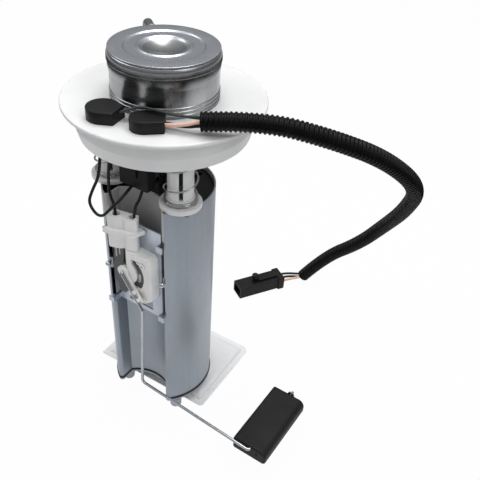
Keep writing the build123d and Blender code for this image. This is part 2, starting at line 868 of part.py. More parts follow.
foot_points = [(channel_centre_x + side * foot_spread, foot_y) for side in (-1, 1)]
with BuildPart() as reservoir_base:
    with BuildSketch(Plane.XY.offset(base_bottom_z)):
        add(reservoir_outline(0))
    extrude(amount=base_thickness)
    with BuildSketch(Plane.XY.offset(base_top_z)):
        add(reservoir_outline(-2 * shell_wall - fit_gap))
        add(reservoir_outline(-2 * shell_wall - fit_gap - base_upstand_wall), mode=Mode.SUBTRACT)
        with Locations(pump_axis):
            Circle(pump_radius + isolator_wall + fit_gap, mode=Mode.SUBTRACT)
    extrude(amount=base_upstand_height)
    with BuildSketch(Plane.XY.offset(base_bottom_z)):
        with Locations(*foot_points):
            Circle(foot_radius)
    extrude(amount=floor_z - base_bottom_z)
    fillet(reservoir_base.faces().sort_by(Axis.Z)[:2].edges(), 1.5)
    with BuildSketch(Plane.XY.offset(base_top_z)):
        with Locations(pump_axis):
            Circle(strainer_neck_radius)
    extrude(amount=-base_thickness, mode=Mode.SUBTRACT)
save(reservoir_base, "reservoir_base")

# Strainer and its neck
strainer_top_z = floor_z + strainer_thickness
with BuildPart() as strainer:
    strainer_plane = Plane(
        (strainer_centre[0], strainer_centre[1], floor_z),
        x_dir=Vector(1, 0, 0).rotate(Axis.Z, strainer_turn),
    )
    with BuildSketch(strainer_plane) as sock:
        Rectangle(strainer_length, strainer_width)
        corners = sock.vertices()
        round_corner = corners.group_by(Axis.X)[0].sort_by(Axis.Y)[-1]
        fillet(round_corner, strainer_round_corner)
        others = sock.vertices().filter_by(lambda v: abs(abs(v.X - strainer_centre[0]) - strainer_length / 2) < 3)
        fillet(others.sort_by(Axis.X)[-2:], strainer_small_corner)
    extrude(amount=strainer_thickness)
    fillet(strainer.faces().sort_by(Axis.Z)[-1].edges(), strainer_thickness * 0.45)
save(strainer, "strainer")

with BuildPart() as strainer_neck:
    with BuildSketch(Plane.XY.offset(strainer_top_z)):
        with Locations(pump_axis):
            Circle(strainer_neck_radius + 4.0)
            Circle(strainer_neck_radius - strainer_neck_wall, mode=Mode.SUBTRACT)
    extrude(amount=1.6)
    with BuildSketch(Plane.XY.offset(strainer_top_z)):
        with Locations(pump_axis):
            Circle(strainer_neck_radius - fit_gap / 2)
            Circle(strainer_neck_radius - strainer_neck_wall, mode=Mode.SUBTRACT)
    extrude(amount=base_top_z - strainer_top_z)
save(strainer_neck, "strainer_neck")

# Pump isolator: a rubber cup between the base and the pump
isolator_bottom_z = base_top_z
with BuildPart() as pump_isolator:
    with BuildSketch(Plane.XY.offset(isolator_bottom_z)):
        with Locations(pump_axis):
            Circle(pump_radius + isolator_wall)
            Circle(strainer_neck_radius - strainer_neck_wall, mode=Mode.SUBTRACT)
    extrude(amount=pump_bottom_z - isolator_bottom_z)
    with BuildSketch(Plane.XY.offset(pump_bottom_z)):
        with Locations(pump_axis):
            Circle(pump_radius + isolator_wall)
            Circle(pump_radius, mode=Mode.SUBTRACT)
    extrude(amount=isolator_height)
save(pump_isolator, "pump_isolator")

# Pump shell, inlet cover and channel plate
pump_top_z = pump_bottom_z + pump_height
with BuildPart() as pump_shell:
    with BuildSketch(Plane.XY.offset(pump_bottom_z)):
        with Locations(pump_axis):
            Circle(pump_radius)
            Circle(pump_radius - pump_wall, mode=Mode.SUBTRACT)
    extrude(amount=pump_height)
    fillet(pump_shell.edges().filter_by(GeomType.CIRCLE).group_by(SortBy.RADIUS)[-1], 0.4)
save(pump_shell, "pump_shell")

inner_radius = pump_radius - pump_wall
chamber_top_z = pump_bottom_z + inlet_cover_height
chamber_bottom_z = chamber_top_z - impeller_thickness - 2 * impeller_gap
with BuildPart() as pump_inlet_cover:
    with BuildSketch(Plane.XY.offset(pump_bottom_z)):
        with Locations(pump_axis):
            Circle(inner_radius)
    extrude(amount=inlet_cover_height)
    with BuildSketch(Plane.XY.offset(chamber_bottom_z)):
        with Locations(pump_axis):
            Circle(impeller_radius + impeller_gap)
    extrude(amount=chamber_top_z - chamber_bottom_z, mode=Mode.SUBTRACT)
    with BuildSketch(Plane.XY.offset(chamber_bottom_z - 2.5)):
        with Locations(pump_axis):
            Circle(shaft_radius + bearing_fit)
    extrude(amount=2.5, mode=Mode.SUBTRACT)
    with BuildSketch(Plane.XY.offset(pump_bottom_z)):
        with Locations(pump_axis):
            Circle(inlet_nozzle_radius)
    extrude(amount=-inlet_nozzle_length)
    with BuildSketch(Plane.XY.offset(pump_bottom_z - inlet_nozzle_length)):
        with Locations(pump_axis):
            Circle(inlet_nozzle_bore)
    extrude(amount=inlet_nozzle_length + 1.5, mode=Mode.SUBTRACT)
    with BuildSketch(Plane.XY.offset(pump_bottom_z + 0.5)):
        with Locations((pump_x, pump_y + inlet_offset_y / 2)):
            Rectangle(3.0, inlet_offset_y)
        with Locations((pump_x, pump_y + inlet_offset_y)):
            Circle(2.0)
    extrude(amount=1.0, mode=Mode.SUBTRACT)
    with BuildSketch(Plane.XY.offset(pump_bottom_z + 0.5)):
        with Locations((pump_x, pump_y + inlet_offset_y)):
            Circle(2.0)
    extrude(amount=chamber_bottom_z - pump_bottom_z, mode=Mode.SUBTRACT)
save(pump_inlet_cover, "pump_inlet_cover")

plate_top_z = chamber_top_z + channel_plate_thickness
with BuildPart() as pump_channel_plate:
    with BuildSketch(Plane.XY.offset(chamber_top_z)):
        with Locations(pump_axis):
            Circle(inner_radius)
            Circle(shaft_radius + bearing_fit, mode=Mode.SUBTRACT)
        with Locations((pump_x, pump_y - 11.0)):
            Circle(2.0, mode=Mode.SUBTRACT)
    extrude(amount=channel_plate_thickness)
save(pump_channel_plate, "pump_channel_plate")

# Impeller: a disc with a ring of vane notches
impeller_bottom_z = chamber_bottom_z + impeller_gap
with BuildPart() as impeller:
    with BuildSketch(Plane.XY.offset(impeller_bottom_z)):
        with Locations(pump_axis):
            Circle(impeller_radius)
            Circle(shaft_radius, mode=Mode.SUBTRACT)
            with PolarLocations(impeller_radius, impeller_vanes):
                Rectangle(4.0, 1.3, mode=Mode.SUBTRACT)
    extrude(amount=impeller_thickness)
save(impeller, "impeller")

# Motor: magnets in the shell, armature and commutator on the shaft
magnet_bottom_z = plate_top_z + 4.0
with BuildPart() as pump_magnets:
    with BuildSketch(Plane.XY.offset(magnet_bottom_z)):
        with Locations(pump_axis):
            Circle(inner_radius)
            Circle(inner_radius - magnet_thickness, mode=Mode.SUBTRACT)
        with Locations(pump_axis):
            Rectangle(4 * inner_radius, 2 * inner_radius * math.cos(math.radians(magnet_arc / 2)), mode=Mode.SUBTRACT)
    extrude(amount=magnet_height)
save(pump_magnets, "pump_magnets")

armature_bottom_z = magnet_bottom_z + (magnet_height - armature_height) / 2
armature_top_z = armature_bottom_z + armature_height
with BuildPart() as armature:
    with BuildSketch(Plane.XY.offset(armature_bottom_z)):
        with Locations(pump_axis):
            Circle(armature_radius)
            Circle(shaft_radius, mode=Mode.SUBTRACT)
            with PolarLocations(0.82 * armature_radius, armature_slots):
                Circle(1.5, mode=Mode.SUBTRACT)
            with PolarLocations(armature_radius, armature_slots):
                Rectangle(4.0, 1.0, mode=Mode.SUBTRACT)
    extrude(amount=armature_height)
save(armature, "armature")

commutator_bottom_z = armature_top_z + 4.0
commutator_top_z = commutator_bottom_z + commutator_height
with BuildPart() as commutator:
    with BuildSketch(Plane.XY.offset(commutator_bottom_z)):
        with Locations(pump_axis):
            Circle(commutator_radius)
            Circle(shaft_radius, mode=Mode.SUBTRACT)
            with PolarLocations(commutator_radius, commutator_bars):
                Rectangle(1.6, 0.5, mode=Mode.SUBTRACT)
    extrude(amount=commutator_height)
save(commutator, "commutator")

cover_bottom_z = pump_top_z - outlet_cover_height
shaft_bottom_z = chamber_bottom_z - 2.0
shaft_top_z = cover_bottom_z + 4.0
with BuildPart() as motor_shaft:
    with BuildSketch(Plane.XY.offset(shaft_bottom_z)):
        with Locations(pump_axis):
            Circle(shaft_radius)
    extrude(amount=shaft_top_z - shaft_bottom_z)
    chamfer(motor_shaft.edges(), 0.3)
save(motor_shaft, "motor_shaft")

# Outlet cover: the upper bearing, the neck and the nipple with its valve seat
neck_top_z = pump_top_z + outlet_neck_height
nipple_top_z = neck_top_z + pump_nipple_height
poppet_seat_z = neck_top_z + 2.0
with BuildPart() as pump_outlet_cover:
    with BuildSketch(Plane.XZ.offset(-pump_y)):
        with BuildLine():
            Polyline(
                (pump_x, shaft_top_z + 0.5),
                (pump_x + shaft_radius + bearing_fit, shaft_top_z + 0.5),
                (pump_x + shaft_radius + bearing_fit, cover_bottom_z),
                (pump_x + inner_radius, cover_bottom_z),
                (pump_x + inner_radius, pump_top_z),
                (pump_x + 0.7 * inner_radius, neck_top_z),
                (pump_x + pump_nipple_radius, neck_top_z),
                (pump_x + pump_nipple_radius, nipple_top_z),
                (pump_x + pump_nipple_bore, nipple_top_z),
                (pump_x + pump_nipple_bore, poppet_seat_z),
                (pump_x + 1.2, poppet_seat_z),
                (pump_x + 1.2, pump_top_z + 1.0),
                (pump_x, pump_top_z + 1.0),
                close=True,
            )
        make_face()
    revolve(axis=Axis((pump_x, pump_y, 0), (0, 0, 1)))
    with BuildSketch(Plane.XY.offset(cover_bottom_z)):
        with Locations((pump_x, pump_y - 9.0)):
            Circle(2.2)
    extrude(amount=outlet_cover_height + 2.5, mode=Mode.SUBTRACT)
    with BuildSketch(Plane.XY.offset(pump_top_z + 1.0)):
        with Locations((pump_x, pump_y - 5.0)):
            Rectangle(2.4, 11.0)
    extrude(amount=1.5, mode=Mode.SUBTRACT)
save(pump_outlet_cover, "pump_outlet_cover")

with BuildPart() as pump_brushes:
    for side in (-1, 1):
        with BuildSketch(Plane.XY.offset(commutator_bottom_z + 2.0)):
            with Locations((pump_x + side * (commutator_radius + brush_gap + 1.4 * brush_size), pump_y)):
                Rectangle(2.8 * brush_size, brush_size)
        extrude(amount=cover_bottom_z - commutator_bottom_z - 2.0)
save(pump_brushes, "pump_brushes")

with BuildPart() as check_valve_poppet:
    with BuildSketch(Plane.XZ.offset(-pump_y)):
        with BuildLine():
            Polyline(
                (pump_x, poppet_seat_z + 0.1),
                (pump_x + 1.3, poppet_seat_z + 0.1),
                (pump_x + poppet_radius, poppet_seat_z + 1.2),
                (pump_x + poppet_radius, poppet_seat_z + 2.4),
                (pump_x + 1.0, poppet_seat_z + 3.0),
                (pump_x + 1.0, poppet_seat_z + poppet_height),
                (pump_x, poppet_seat_z + poppet_height),
                close=True,
            )
        make_face()
    revolve(axis=Axis((pump_x, pump_y, 0), (0, 0, 1)))
save(check_valve_poppet, "check_valve_poppet")

# Hose: a ribbed tube from the pump nipple to the flange nipple, with its two clamps
hose_bottom_z = neck_top_z + 1.0
hose_top_z = deck_under - 1.0
hose_length = hose_top_z - hose_bottom_z
flange_nipple_z = deck_under - flange_nipple_length
cuff_length = pump_nipple_height
rib_pitch = (hose_length - 2 * cuff_length) / hose_ribs
with BuildPart() as fuel_hose:
    with BuildSketch(Plane.XZ.offset(-pump_y)):
        with BuildLine():
            hose_points = [
                (pump_x + pump_nipple_radius, hose_bottom_z),
                (pump_x + hose_radius, hose_bottom_z),
                (pump_x + hose_radius, hose_bottom_z + cuff_length),
            ]
            for rib in range(hose_ribs):
                rib_z = hose_bottom_z + cuff_length + rib * rib_pitch
                hose_points.append((pump_x + hose_radius - 0.7, rib_z + 0.5 * rib_pitch))
                hose_points.append((pump_x + hose_radius, rib_z + rib_pitch))
            hose_points.append((pump_x + hose_radius, hose_top_z))
            hose_points.append((pump_x + pump_nipple_radius, hose_top_z))
            Polyline(*hose_points, close=True)
        make_face()
    revolve(axis=Axis((pump_x, pump_y, 0), (0, 0, 1)))
save(fuel_hose, "fuel_hose")

clamp_places = [
    ("hose_clamp_lower", hose_bottom_z + (cuff_length - clamp_height) / 2),
    ("hose_clamp_upper", hose_top_z - (flange_nipple_length + clamp_height) / 2),
]
for clamp_label, clamp_z in clamp_places:
    with BuildPart() as hose_clamp:
        with BuildSketch(Plane.XY.offset(clamp_z)):
            with Locations(pump_axis):
                Circle(hose_radius + clamp_thickness)
            with Locations((pump_x + hose_radius + 1.2, pump_y)):
                Rectangle(3.4, 3.0)
            with Locations(pump_axis):
                Circle(hose_radius, mode=Mode.SUBTRACT)
        extrude(amount=clamp_height)
    save(hose_clamp, clamp_label)

# Sender bracket: a plate across the channel, its ears hooked and riveted on the lobes
bracket_left_x = channel_centre_x - channel_width / 2 + bracket_edge_gap
bracket_right_x = channel_centre_x + channel_width / 2 - bracket_edge_gap
bracket_width = bracket_right_x - bracket_left_x
bracket_front_y = bracket_y
with BuildPart() as sender_bracket:
    with BuildSketch(Plane.XY.offset(bracket_bottom_z)):
        with Locations((channel_centre_x, bracket_front_y + bracket_thickness / 2)):
            Rectangle(bracket_width, bracket_thickness)
    extrude(amount=bracket_top_z - bracket_bottom_z)
    with BuildSketch(Plane.XZ.offset(-bracket_front_y)):
        with Locations((channel_centre_x, (bracket_top_z + bracket_bottom_z) / 2 - 30.0)):
            Rectangle(0.55 * bracket_width, 16.0)
    extrude(amount=-bracket_thickness, mode=Mode.SUBTRACT)
    for side in (-1, 1):
        slot_x = channel_centre_x + side * (channel_width / 2 + 0.6 * lobe_edge_radius)
        slot_y = -math.sqrt(shell_radius**2 - (slot_x - shell_centre[0]) ** 2) + shell_centre[1]
        for ear_z in (upper_tab_z, lower_tab_z):
            front_y = slot_y - 1.2
            edge_x = channel_centre_x + side * (channel_width / 2 - bracket_edge_gap - bracket_thickness / 2)
            with BuildSketch(Plane.XY.offset(ear_z - tab_height / 2)):
                with Locations((edge_x, (front_y + bracket_front_y) / 2)):
                    Rectangle(bracket_thickness, bracket_front_y - front_y)
                with Locations(((edge_x + slot_x + side * 2.0) / 2, front_y - bracket_thickness / 2)):
                    Rectangle(abs(slot_x - edge_x) + 3.0, bracket_thickness)
            extrude(amount=tab_height)
save(sender_bracket, "sender_bracket")

# Rivets: round heads on the web between the lacing slots
with BuildPart() as bracket_rivets:
    for side in (-1, 1):
        slot_x = channel_centre_x + side * (channel_width / 2 + 0.6 * lobe_edge_radius + 0.8)
        web_y = -math.sqrt(shell_radius**2 - (slot_x - shell_centre[0]) ** 2) + shell_centre[1]
        with Locations((slot_x, web_y - 0.7 * rivet_head_radius, rivet_z)):
            Sphere(rivet_head_radius)
save(bracket_rivets, "bracket_rivets")

# Sender housing: a moulded body with an arc window, a wing and the pivot boss
housing_back_y = bracket_front_y
housing_front_y = housing_back_y - housing_depth
with BuildPart() as sender_housing:
    with BuildSketch(Plane.XZ.offset(-housing_back_y)) as housing_outline:
        with BuildLine():
            Polyline(
                (housing_left_x, housing_top_z),
                (housing_right_x - 3.0, housing_top_z),
                (housing_right_x, housing_top_z - 3.0),
                (housing_right_x, housing_bottom_z + 6.0),
                (housing_right_x - 7.0, housing_bottom_z),
                (housing_left_x + 9.0, housing_bottom_z),
                (housing_left_x, housing_bottom_z + 12.0),
                close=True,
            )
        make_face()
    extrude(amount=housing_depth)
    fillet(sender_housing.faces().sort_by(Axis.Y)[0].edges(), 0.8)
    with BuildSketch(Plane.XZ.offset(-housing_back_y)):
        with BuildLine():
            Polyline(
                (housing_left_x + 1.0, wing_top_z),
                (wing_left_x, wing_top_z),
                (wing_left_x, wing_bottom_z + 8.0),
                (housing_left_x + 1.0, wing_bottom_z),
                close=True,
            )
        make_face()
    extrude(amount=wing_depth)
    with BuildSketch(Plane.XZ.offset(-housing_back_y)):
        with Locations(pivot_point):
            Circle(pivot_boss_radius)
    extrude(amount=pivot_boss_depth)
    with BuildSketch(Plane.XZ.offset(-housing_back_y)):
        with Locations(pivot_point):
            Circle(arm_wire_radius + arm_fit)
    extrude(amount=pivot_boss_depth, mode=Mode.SUBTRACT)
    with BuildSketch(Plane.XZ.offset(-housing_front_y)) as arc_window:
        with Locations(pivot_point):
            Circle(arc_window_outer)
            Circle(arc_window_inner, mode=Mode.SUBTRACT)
        with Locations((housing_left_x + 14.5, pivot_point[1] + 1.0)):
            Rectangle(18.0, 27.0, mode=Mode.INTERSECT)
    extrude(amount=-(housing_depth - housing_wall), mode=Mode.SUBTRACT)
    with BuildSketch(Plane.XZ.offset(-housing_front_y)):
        with Locations((housing_right_x - 9.0, housing_bottom_z + 8.5)):
            Rectangle(9.0, 9.0)
    extrude(amount=-1.6, mode=Mode.SUBTRACT)
save(sender_housing, "sender_housing")

# Resistor card: a dark plate beside the housing, and its arc behind the window
card_right_x = wing_left_x - 0.2
window_floor_y = housing_back_y - housing_wall
arc_card_y = window_floor_y - arc_card_thickness
ring_point = (housing_right_x - 7.5, housing_top_z - 8.5)
with BuildPart() as resistor_card:
    with BuildSketch(Plane.XZ.offset(-(housing_back_y - card_depth))):
        with BuildLine():
            Polyline(
                (card_left_x, wing_top_z + 1.0),
                (card_right_x, wing_top_z + 1.0),
                (card_right_x, wing_bottom_z + 4.0),
                (card_right_x + 7.0, wing_bottom_z - 3.5),
                (card_right_x + 4.0, housing_bottom_z + 1.0),
                (card_left_x + 2.0, wing_bottom_z + 4.0),
                (card_left_x, wing_bottom_z + 10.0),
                close=True,
            )
        make_face()
    extrude(amount=card_thickness)
    with BuildSketch(Plane.XZ.offset(-window_floor_y)):
        with Locations(pivot_point):
            Circle(arc_window_outer - arc_card_margin)
            Circle(arc_window_inner + arc_card_margin, mode=Mode.SUBTRACT)
        with Locations((housing_left_x + 14.5, pivot_point[1] + 1.0)):
            Rectangle(18.0 - 2 * arc_card_margin, 27.0 - 2 * arc_card_margin, mode=Mode.INTERSECT)
    extrude(amount=window_floor_y - arc_card_y)
save(resistor_card, "resistor_card")

# Sender contacts: the card's conductor segments in the window and the ring terminal above it
with BuildPart() as sender_contacts:
    with BuildSketch(Plane.XZ.offset(-arc_card_y)):
        with Locations(pivot_point):
            with PolarLocations(arc_window_inner + 2.2, track_count, start_angle=-24, angular_range=36):
                Rectangle(2.6, 0.7)
    extrude(amount=track_thickness)
    with BuildSketch(Plane.XZ.offset(-housing_front_y)):
        with Locations(ring_point):
            Circle(contact_ring_radius)
        with Locations((ring_point[0] - 2.6, ring_point[1] + 0.9)):
            Rectangle(5.2, 1.4, rotation=-14)
        with Locations(ring_point):
            Circle(contact_ring_bore, mode=Mode.SUBTRACT)
    extrude(amount=0.5)
save(sender_contacts, "sender_contacts")

# Sender connector: two cavities over a pointed flange
connector_back_y = bracket_front_y - 0.6
connector_middle_y = connector_back_y - connector_depth / 2
connector_width = connector_right_x - connector_left_x
connector_middle_x = (connector_right_x + connector_left_x) / 2
cavity_spacing = connector_width / 2
cavity_points = [
    (connector_middle_x - cavity_spacing / 2, connector_middle_y),
    (connector_middle_x + cavity_spacing / 2, connector_middle_y),
]
with BuildPart() as sender_connector:
    with BuildSketch(Plane.XY.offset(connector_bottom_z)) as lobes:
        with Locations(*cavity_points):
            Rectangle(cavity_spacing + 0.2, connector_depth)
        with Locations((connector_middle_x, connector_back_y - connector_depth)):
            Rectangle(2.4, 2.4, rotation=45, mode=Mode.SUBTRACT)
        chamfer(lobes.vertices().group_by(Axis.Y)[0], 1.6)
    extrude(amount=connector_top_z - connector_bottom_z)
    with BuildSketch(Plane.XY.offset(sender_flange_z)):
        with BuildLine():
            Polyline(
                (connector_left_x - 1.6, connector_back_y - connector_depth - 0.2),
                (connector_left_x + 2.0, connector_back_y - connector_depth - 1.5),
                (connector_middle_x - 1.0, connector_back_y - connector_depth - 1.5),
                (connector_middle_x + 1.0, connector_back_y - connector_depth - 0.6),
                (connector_right_x - 3.0, connector_back_y - connector_depth - 2.4),
                (connector_right_x + 4.0, connector_middle_y),
                (connector_right_x, connector_back_y),
                (connector_left_x, connector_back_y),
                (connector_left_x, connector_back_y - connector_depth + 1.6),
                close=True,
            )
        make_face()
    extrude(amount=sender_flange_thickness)
    with BuildSketch(Plane.XY.offset(connector_top_z)):
        with Locations(*cavity_points):
            Circle(cavity_radius)
    extrude(amount=-12.0, mode=Mode.SUBTRACT)
save(sender_connector, "sender_connector")

# Float arm: one bent wire from the pivot down, across and through the float
arm_back_y = housing_back_y - 1.0
float_near_y = arm_y + arm_wire_radius + float_end_gap
float_far_y = float_near_y + float_length
arm_points = [
    (pivot_point[0], arm_back_y, pivot_point[1]),
    (pivot_point[0], arm_y, pivot_point[1]),
    (arm_clip_point[0], arm_y, arm_clip_point[1]),
    (arm_drop_point[0], arm_y, arm_drop_point[1]),
    (arm_corner_point[0], arm_y, arm_corner_point[1]),
    (float_axis_point[0], arm_y, float_axis_point[1]),
    (float_axis_point[0], float_far_y + arm_stub, float_axis_point[1]),
]
with BuildPart() as float_arm_wire:
    with BuildLine():
        arm_route = FilletPolyline(*arm_points, radius=[2.0, 2.0, 2.0, arm_bend_radius, 2.4])
    with BuildSketch(Plane(origin=arm_route @ 0, z_dir=arm_route % 0)):
        Circle(arm_wire_radius)
    sweep(path=arm_route)
    with BuildSketch(Plane.XZ.offset(-(float_far_y + float_end_gap))):
        with Locations(float_axis_point):
            Circle(push_nut_radius)
    extrude(amount=-1.0)
save(float_arm_wire, "float_arm_wire")

# Float: a rounded block that swivels on the wire's end
float_plane = Plane(
    (float_axis_point[0], float_near_y, float_axis_point[1]),
    x_dir=Vector(1, 0, 0).rotate(Axis.Y, -float_tilt),
    z_dir=(0, -1, 0),
)
with BuildPart() as float_block:
    with BuildSketch(float_plane):
        with Locations(float_offset):
            RectangleRounded(float_width, float_height, float_edge_radius)
    extrude(amount=-float_length)
    fillet(float_block.faces().sort_by(Axis.Y)[-1].edges(), 2.0)
    with BuildSketch(float_plane):
        Circle(arm_wire_radius + arm_fit)
    extrude(amount=-float_length, mode=Mode.SUBTRACT)
    with BuildSketch(float_plane):
        Circle(arm_wire_radius + 2.2)
    extrude(amount=-4.0, mode=Mode.SUBTRACT)
save(float_block, "float")

# Wiper carrier: a lever behind the wire, with two clips that hold it
carrier_back_y = housing_front_y - carrier_gap
carrier_front_y = arm_y + arm_wire_radius + 0.1
clip_direction = math.degrees(
    math.atan2(arm_clip_point[1] - pivot_point[1], arm_clip_point[0] - pivot_point[0])
)
clip_distance = math.hypot(arm_clip_point[1] - pivot_point[1], arm_clip_point[0] - pivot_point[0])
carrier_plane = Plane(
    (pivot_point[0], carrier_back_y, pivot_point[1]),
    x_dir=Vector(1, 0, 0).rotate(Axis.Y, -clip_direction),
    z_dir=(0, -1, 0),
)
with BuildPart() as wiper_carrier:
    with BuildSketch(carrier_plane):
        Circle(carrier_hub_radius)
        with Locations((clip_distance / 2, 0)):
            Rectangle(clip_distance, carrier_width)
        Circle(arm_wire_radius, mode=Mode.SUBTRACT)
    extrude(amount=carrier_back_y - carrier_front_y)
    for clip_at in (clip_distance - 11.0, clip_distance - 4.0):
        with BuildSketch(carrier_plane.offset(carrier_back_y - carrier_front_y)):
            with Locations((clip_at, 0)):
                Rectangle(3.0, 2 * (arm_wire_radius + clip_wall))
        extrude(amount=2 * arm_wire_radius)
    with BuildSketch(carrier_plane.offset(carrier_back_y - carrier_front_y)):
        with Locations((clip_distance / 2, 0)):
            Rectangle(2 * clip_distance, 2 * arm_wire_radius + 0.1)
    extrude(amount=2 * arm_wire_radius + 1.0, mode=Mode.SUBTRACT)
save(wiper_carrier, "wiper_carrier")

# Harness connector: the black block that hangs under the flange
block_middle = (6.0, -40.0)
block_width = 26.0
block_depth = 10.0
block_bottom_z = -49.0
block_shoulder_z = -25.0
with BuildPart() as harness_connector:
    with BuildSketch(Plane.XY.offset(block_bottom_z)):
        with Locations(block_middle):
            RectangleRounded(block_width, block_depth, 1.5)
    extrude(amount=block_shoulder_z - block_bottom_z)
    with BuildSketch(Plane.XY.offset(block_shoulder_z)):
        with Locations(block_middle):
            RectangleRounded(0.7 * block_width, 0.7 * block_depth, 1.0)
    extrude(amount=deck_under - block_shoulder_z)
    with BuildSketch(Plane.XZ.offset(-(block_middle[1] - block_depth / 2))):
        with Locations((block_middle[0], block_bottom_z + 15.0)):
            Rectangle(8.0, 12.0)
    extrude(amount=1.2)
save(harness_connector, "harness_connector")

# Wires inside the tank
pin_end_z = deck_under - pin_below_deck
loop_wire_points = [
    (pin_points[0][0], pin_points[0][1], pin_end_z),
    (-13.6, -54.6, -26.0),
    (-16.0, -55.6, -44.0),
    (-21.5, -57.4, -57.0),
    (-24.5, -58.4, -69.0),
    (-12.5, -58.6, -77.5),
    (-2.5, -56.2, -64.5),
    (2.6, -50.0, -57.4),
    (4.0, -43.5, block_bottom_z),
]
loop_wire = tube("loop_wire", loop_wire_points, tank_wire_radius)
save(loop_wire, "loop_wire")

signal_wire_points = [
    (pin_points[1][0], pin_points[1][1], pin_end_z),
    (-7.6, -52.0, -26.0),
    (-10.2, -52.4, -44.0),
    (-10.0, -52.6, -57.0),
    (cavity_points[0][0] - 0.4, cavity_points[0][1] - 0.6, -67.0),
    (cavity_points[0][0], cavity_points[0][1], connector_top_z - 10.0),
]
sender_signal_wire = tube("sender_signal_wire", signal_wire_points, tank_wire_radius)
save(sender_signal_wire, "sender_signal_wire")

ground_wire_points = [
    (13.0, -43.0, block_bottom_z),
    (12.6, -45.6, -56.0),
    (9.6, -50.2, -64.0),
    (cavity_points[1][0], cavity_points[1][1], connector_top_z - 10.0),
]
sender_ground_wire = tube("sender_ground_wire", ground_wire_points, tank_wire_radius)
save(sender_ground_wire, "sender_ground_wire")

with BuildPart() as pump_leads:
    for lead_x in (-3.6, 0.0):
        lead_points = [
            (lead_x, -40.0, block_bottom_z),
            (lead_x - 0.6, -33.0, -53.6),
            (lead_x - 1.0, -26.0, -60.0),
            (lead_x - 1.0, -21.4, -80.0),
            (lead_x, -18.6, -105.0),
            (lead_x + 0.4, -17.0, -130.0),
            (lead_x + 0.4, pump_y - 8.4, neck_top_z + lead_end_gap),
        ]
        add(tube("pump_leads", lead_points, tank_wire_radius).part)
save(pump_leads, "pump_leads")

# Wires on the flange, from the caps into the loom's mouth
loom_start = (53.0, -30.0, 11.5)
loom_second = (88.0, -12.0, 13.0)
loom_mouth = Plane(
    loom_start,
    x_dir=(-18.0, 35.0, 0),
    z_dir=Vector(*loom_second) - Vector(*loom_start),
)
lead_depth = loom_bore_depth - 1.0


def mouth_run(side, up):
    """List the two points of a wire that enters the loom beside its axis."""
    return [
        tuple(loom_mouth.from_local_coords((side, up, 0))),
        tuple(loom_mouth.from_local_coords((side, up, lead_depth))),
    ]


def cap_exit(centre, angle, reach, side, up):
    """Find the point on a cap's flat end where a wire leaves it."""
    plane = Plane((centre[0], centre[1], lip_thickness), x_dir=Vector(1, 0, 0).rotate(Axis.Z, angle))
    return tuple(plane.from_local_coords((reach, side, up)))


supply_exit = cap_exit(pump_cap_centre, pump_cap_angle, pump_cap_length, -2.4, 4.4)
supply_points = [supply_exit, (45.6, -37.6, 9.6)] + mouth_run(-2.2, 1.6)
wire_pink = tube("wire_pink", supply_points, lead_radius)
save(wire_pink, "wire_pink")

earth_exit = cap_exit(pump_cap_centre, pump_cap_angle, pump_cap_length, 2.4, 3.2)
earth_points = [earth_exit, (44.6, -34.4, 6.4)] + mouth_run(-0.4, -2.4)
wire_black = tube("wire_black", earth_points, lead_radius)
save(wire_black, "wire_black")

grey_exit_a = cap_exit(sender_cap_centre, sender_cap_angle, sender_cap_length, 0.6, 5.4)
grey_exit_b = cap_exit(sender_cap_centre, sender_cap_angle, sender_cap_length, 3.6, 5.4)
grey_points_a = [grey_exit_a, (14.0, -44.4, 13.4), (27.0, -41.4, 14.0), (40.0, -36.0, 13.4)] + mouth_run(1.6, 2.4)
grey_points_b = [grey_exit_b, (13.4, -41.6, 13.0), (26.4, -39.0, 13.6), (38.6, -33.6, 12.4)] + mouth_run(3.0, 0.2)
with BuildPart() as wires_grey:
    add(tube("wires_grey", grey_points_a, signal_radius).part)
    add(tube("wires_grey", grey_points_b, signal_radius).part)
save(wires_grey, "wires_grey")

# Loom: a corrugated conduit from the flange out and down to the plug
loom_points = [
    loom_start,
    loom_second,
    (124.0, 14.0, 8.0),
    (154.0, 46.0, -12.0),
    (171.0, 84.0, -52.0),
    (169.0, 121.0, -104.0),
    (147.0, 150.0, -154.0),
    (115.0, 169.0, -197.0),
    (80.0, 178.0, -236.0),
    (48.0, 178.0, -265.0),
]
loom = tube("loom", loom_points, loom_radius)
with BuildPart() as loom_bored:
    add(loom.part)
    for end, inner in ((loom_points[0], loom_points[1]), (loom_points[-1], loom_points[-2])):
        with BuildSketch(Plane(origin=end, z_dir=Vector(*inner) - Vector(*end))):
            Circle(loom_bore_radius)
        extrude(amount=loom_bore_depth, mode=Mode.SUBTRACT)
save(loom_bored, "loom")

# Plug: a housing with an open mouth, a rear cap, a latch, a lock pin and terminals
plug_plane = Plane(
    (plug_origin[0], plug_origin[1], floor_z),
    x_dir=Vector(1, 0, 0).rotate(Axis.Z, plug_angle),
)
plug_end = Plane(
    plug_plane.from_local_coords((-plug_length / 2, 0, plug_height / 2 + plug_collar_margin)),
    x_dir=Vector(0, 1, 0).rotate(Axis.Z, plug_angle),
    z_dir=Vector(1, 0, 0).rotate(Axis.Z, plug_angle),
)
with BuildPart() as connector_housing:
    with BuildSketch(plug_end):
        RectangleRounded(plug_width, plug_height, plug_edge_radius)
    extrude(amount=plug_length)
    with BuildSketch(plug_end):
        RectangleRounded(plug_width - 2 * plug_wall, plug_height - 2 * plug_wall, plug_edge_radius / 2)
    extrude(amount=plug_mouth_depth, mode=Mode.SUBTRACT)
    with BuildSketch(plug_end.offset(plug_length - plug_latch_length)):
        with Locations((0, plug_height / 2)):
            Rectangle(plug_latch_width, 2 * plug_latch_height)
    extrude(amount=plug_latch_length)
save(connector_housing, "connector_housing")

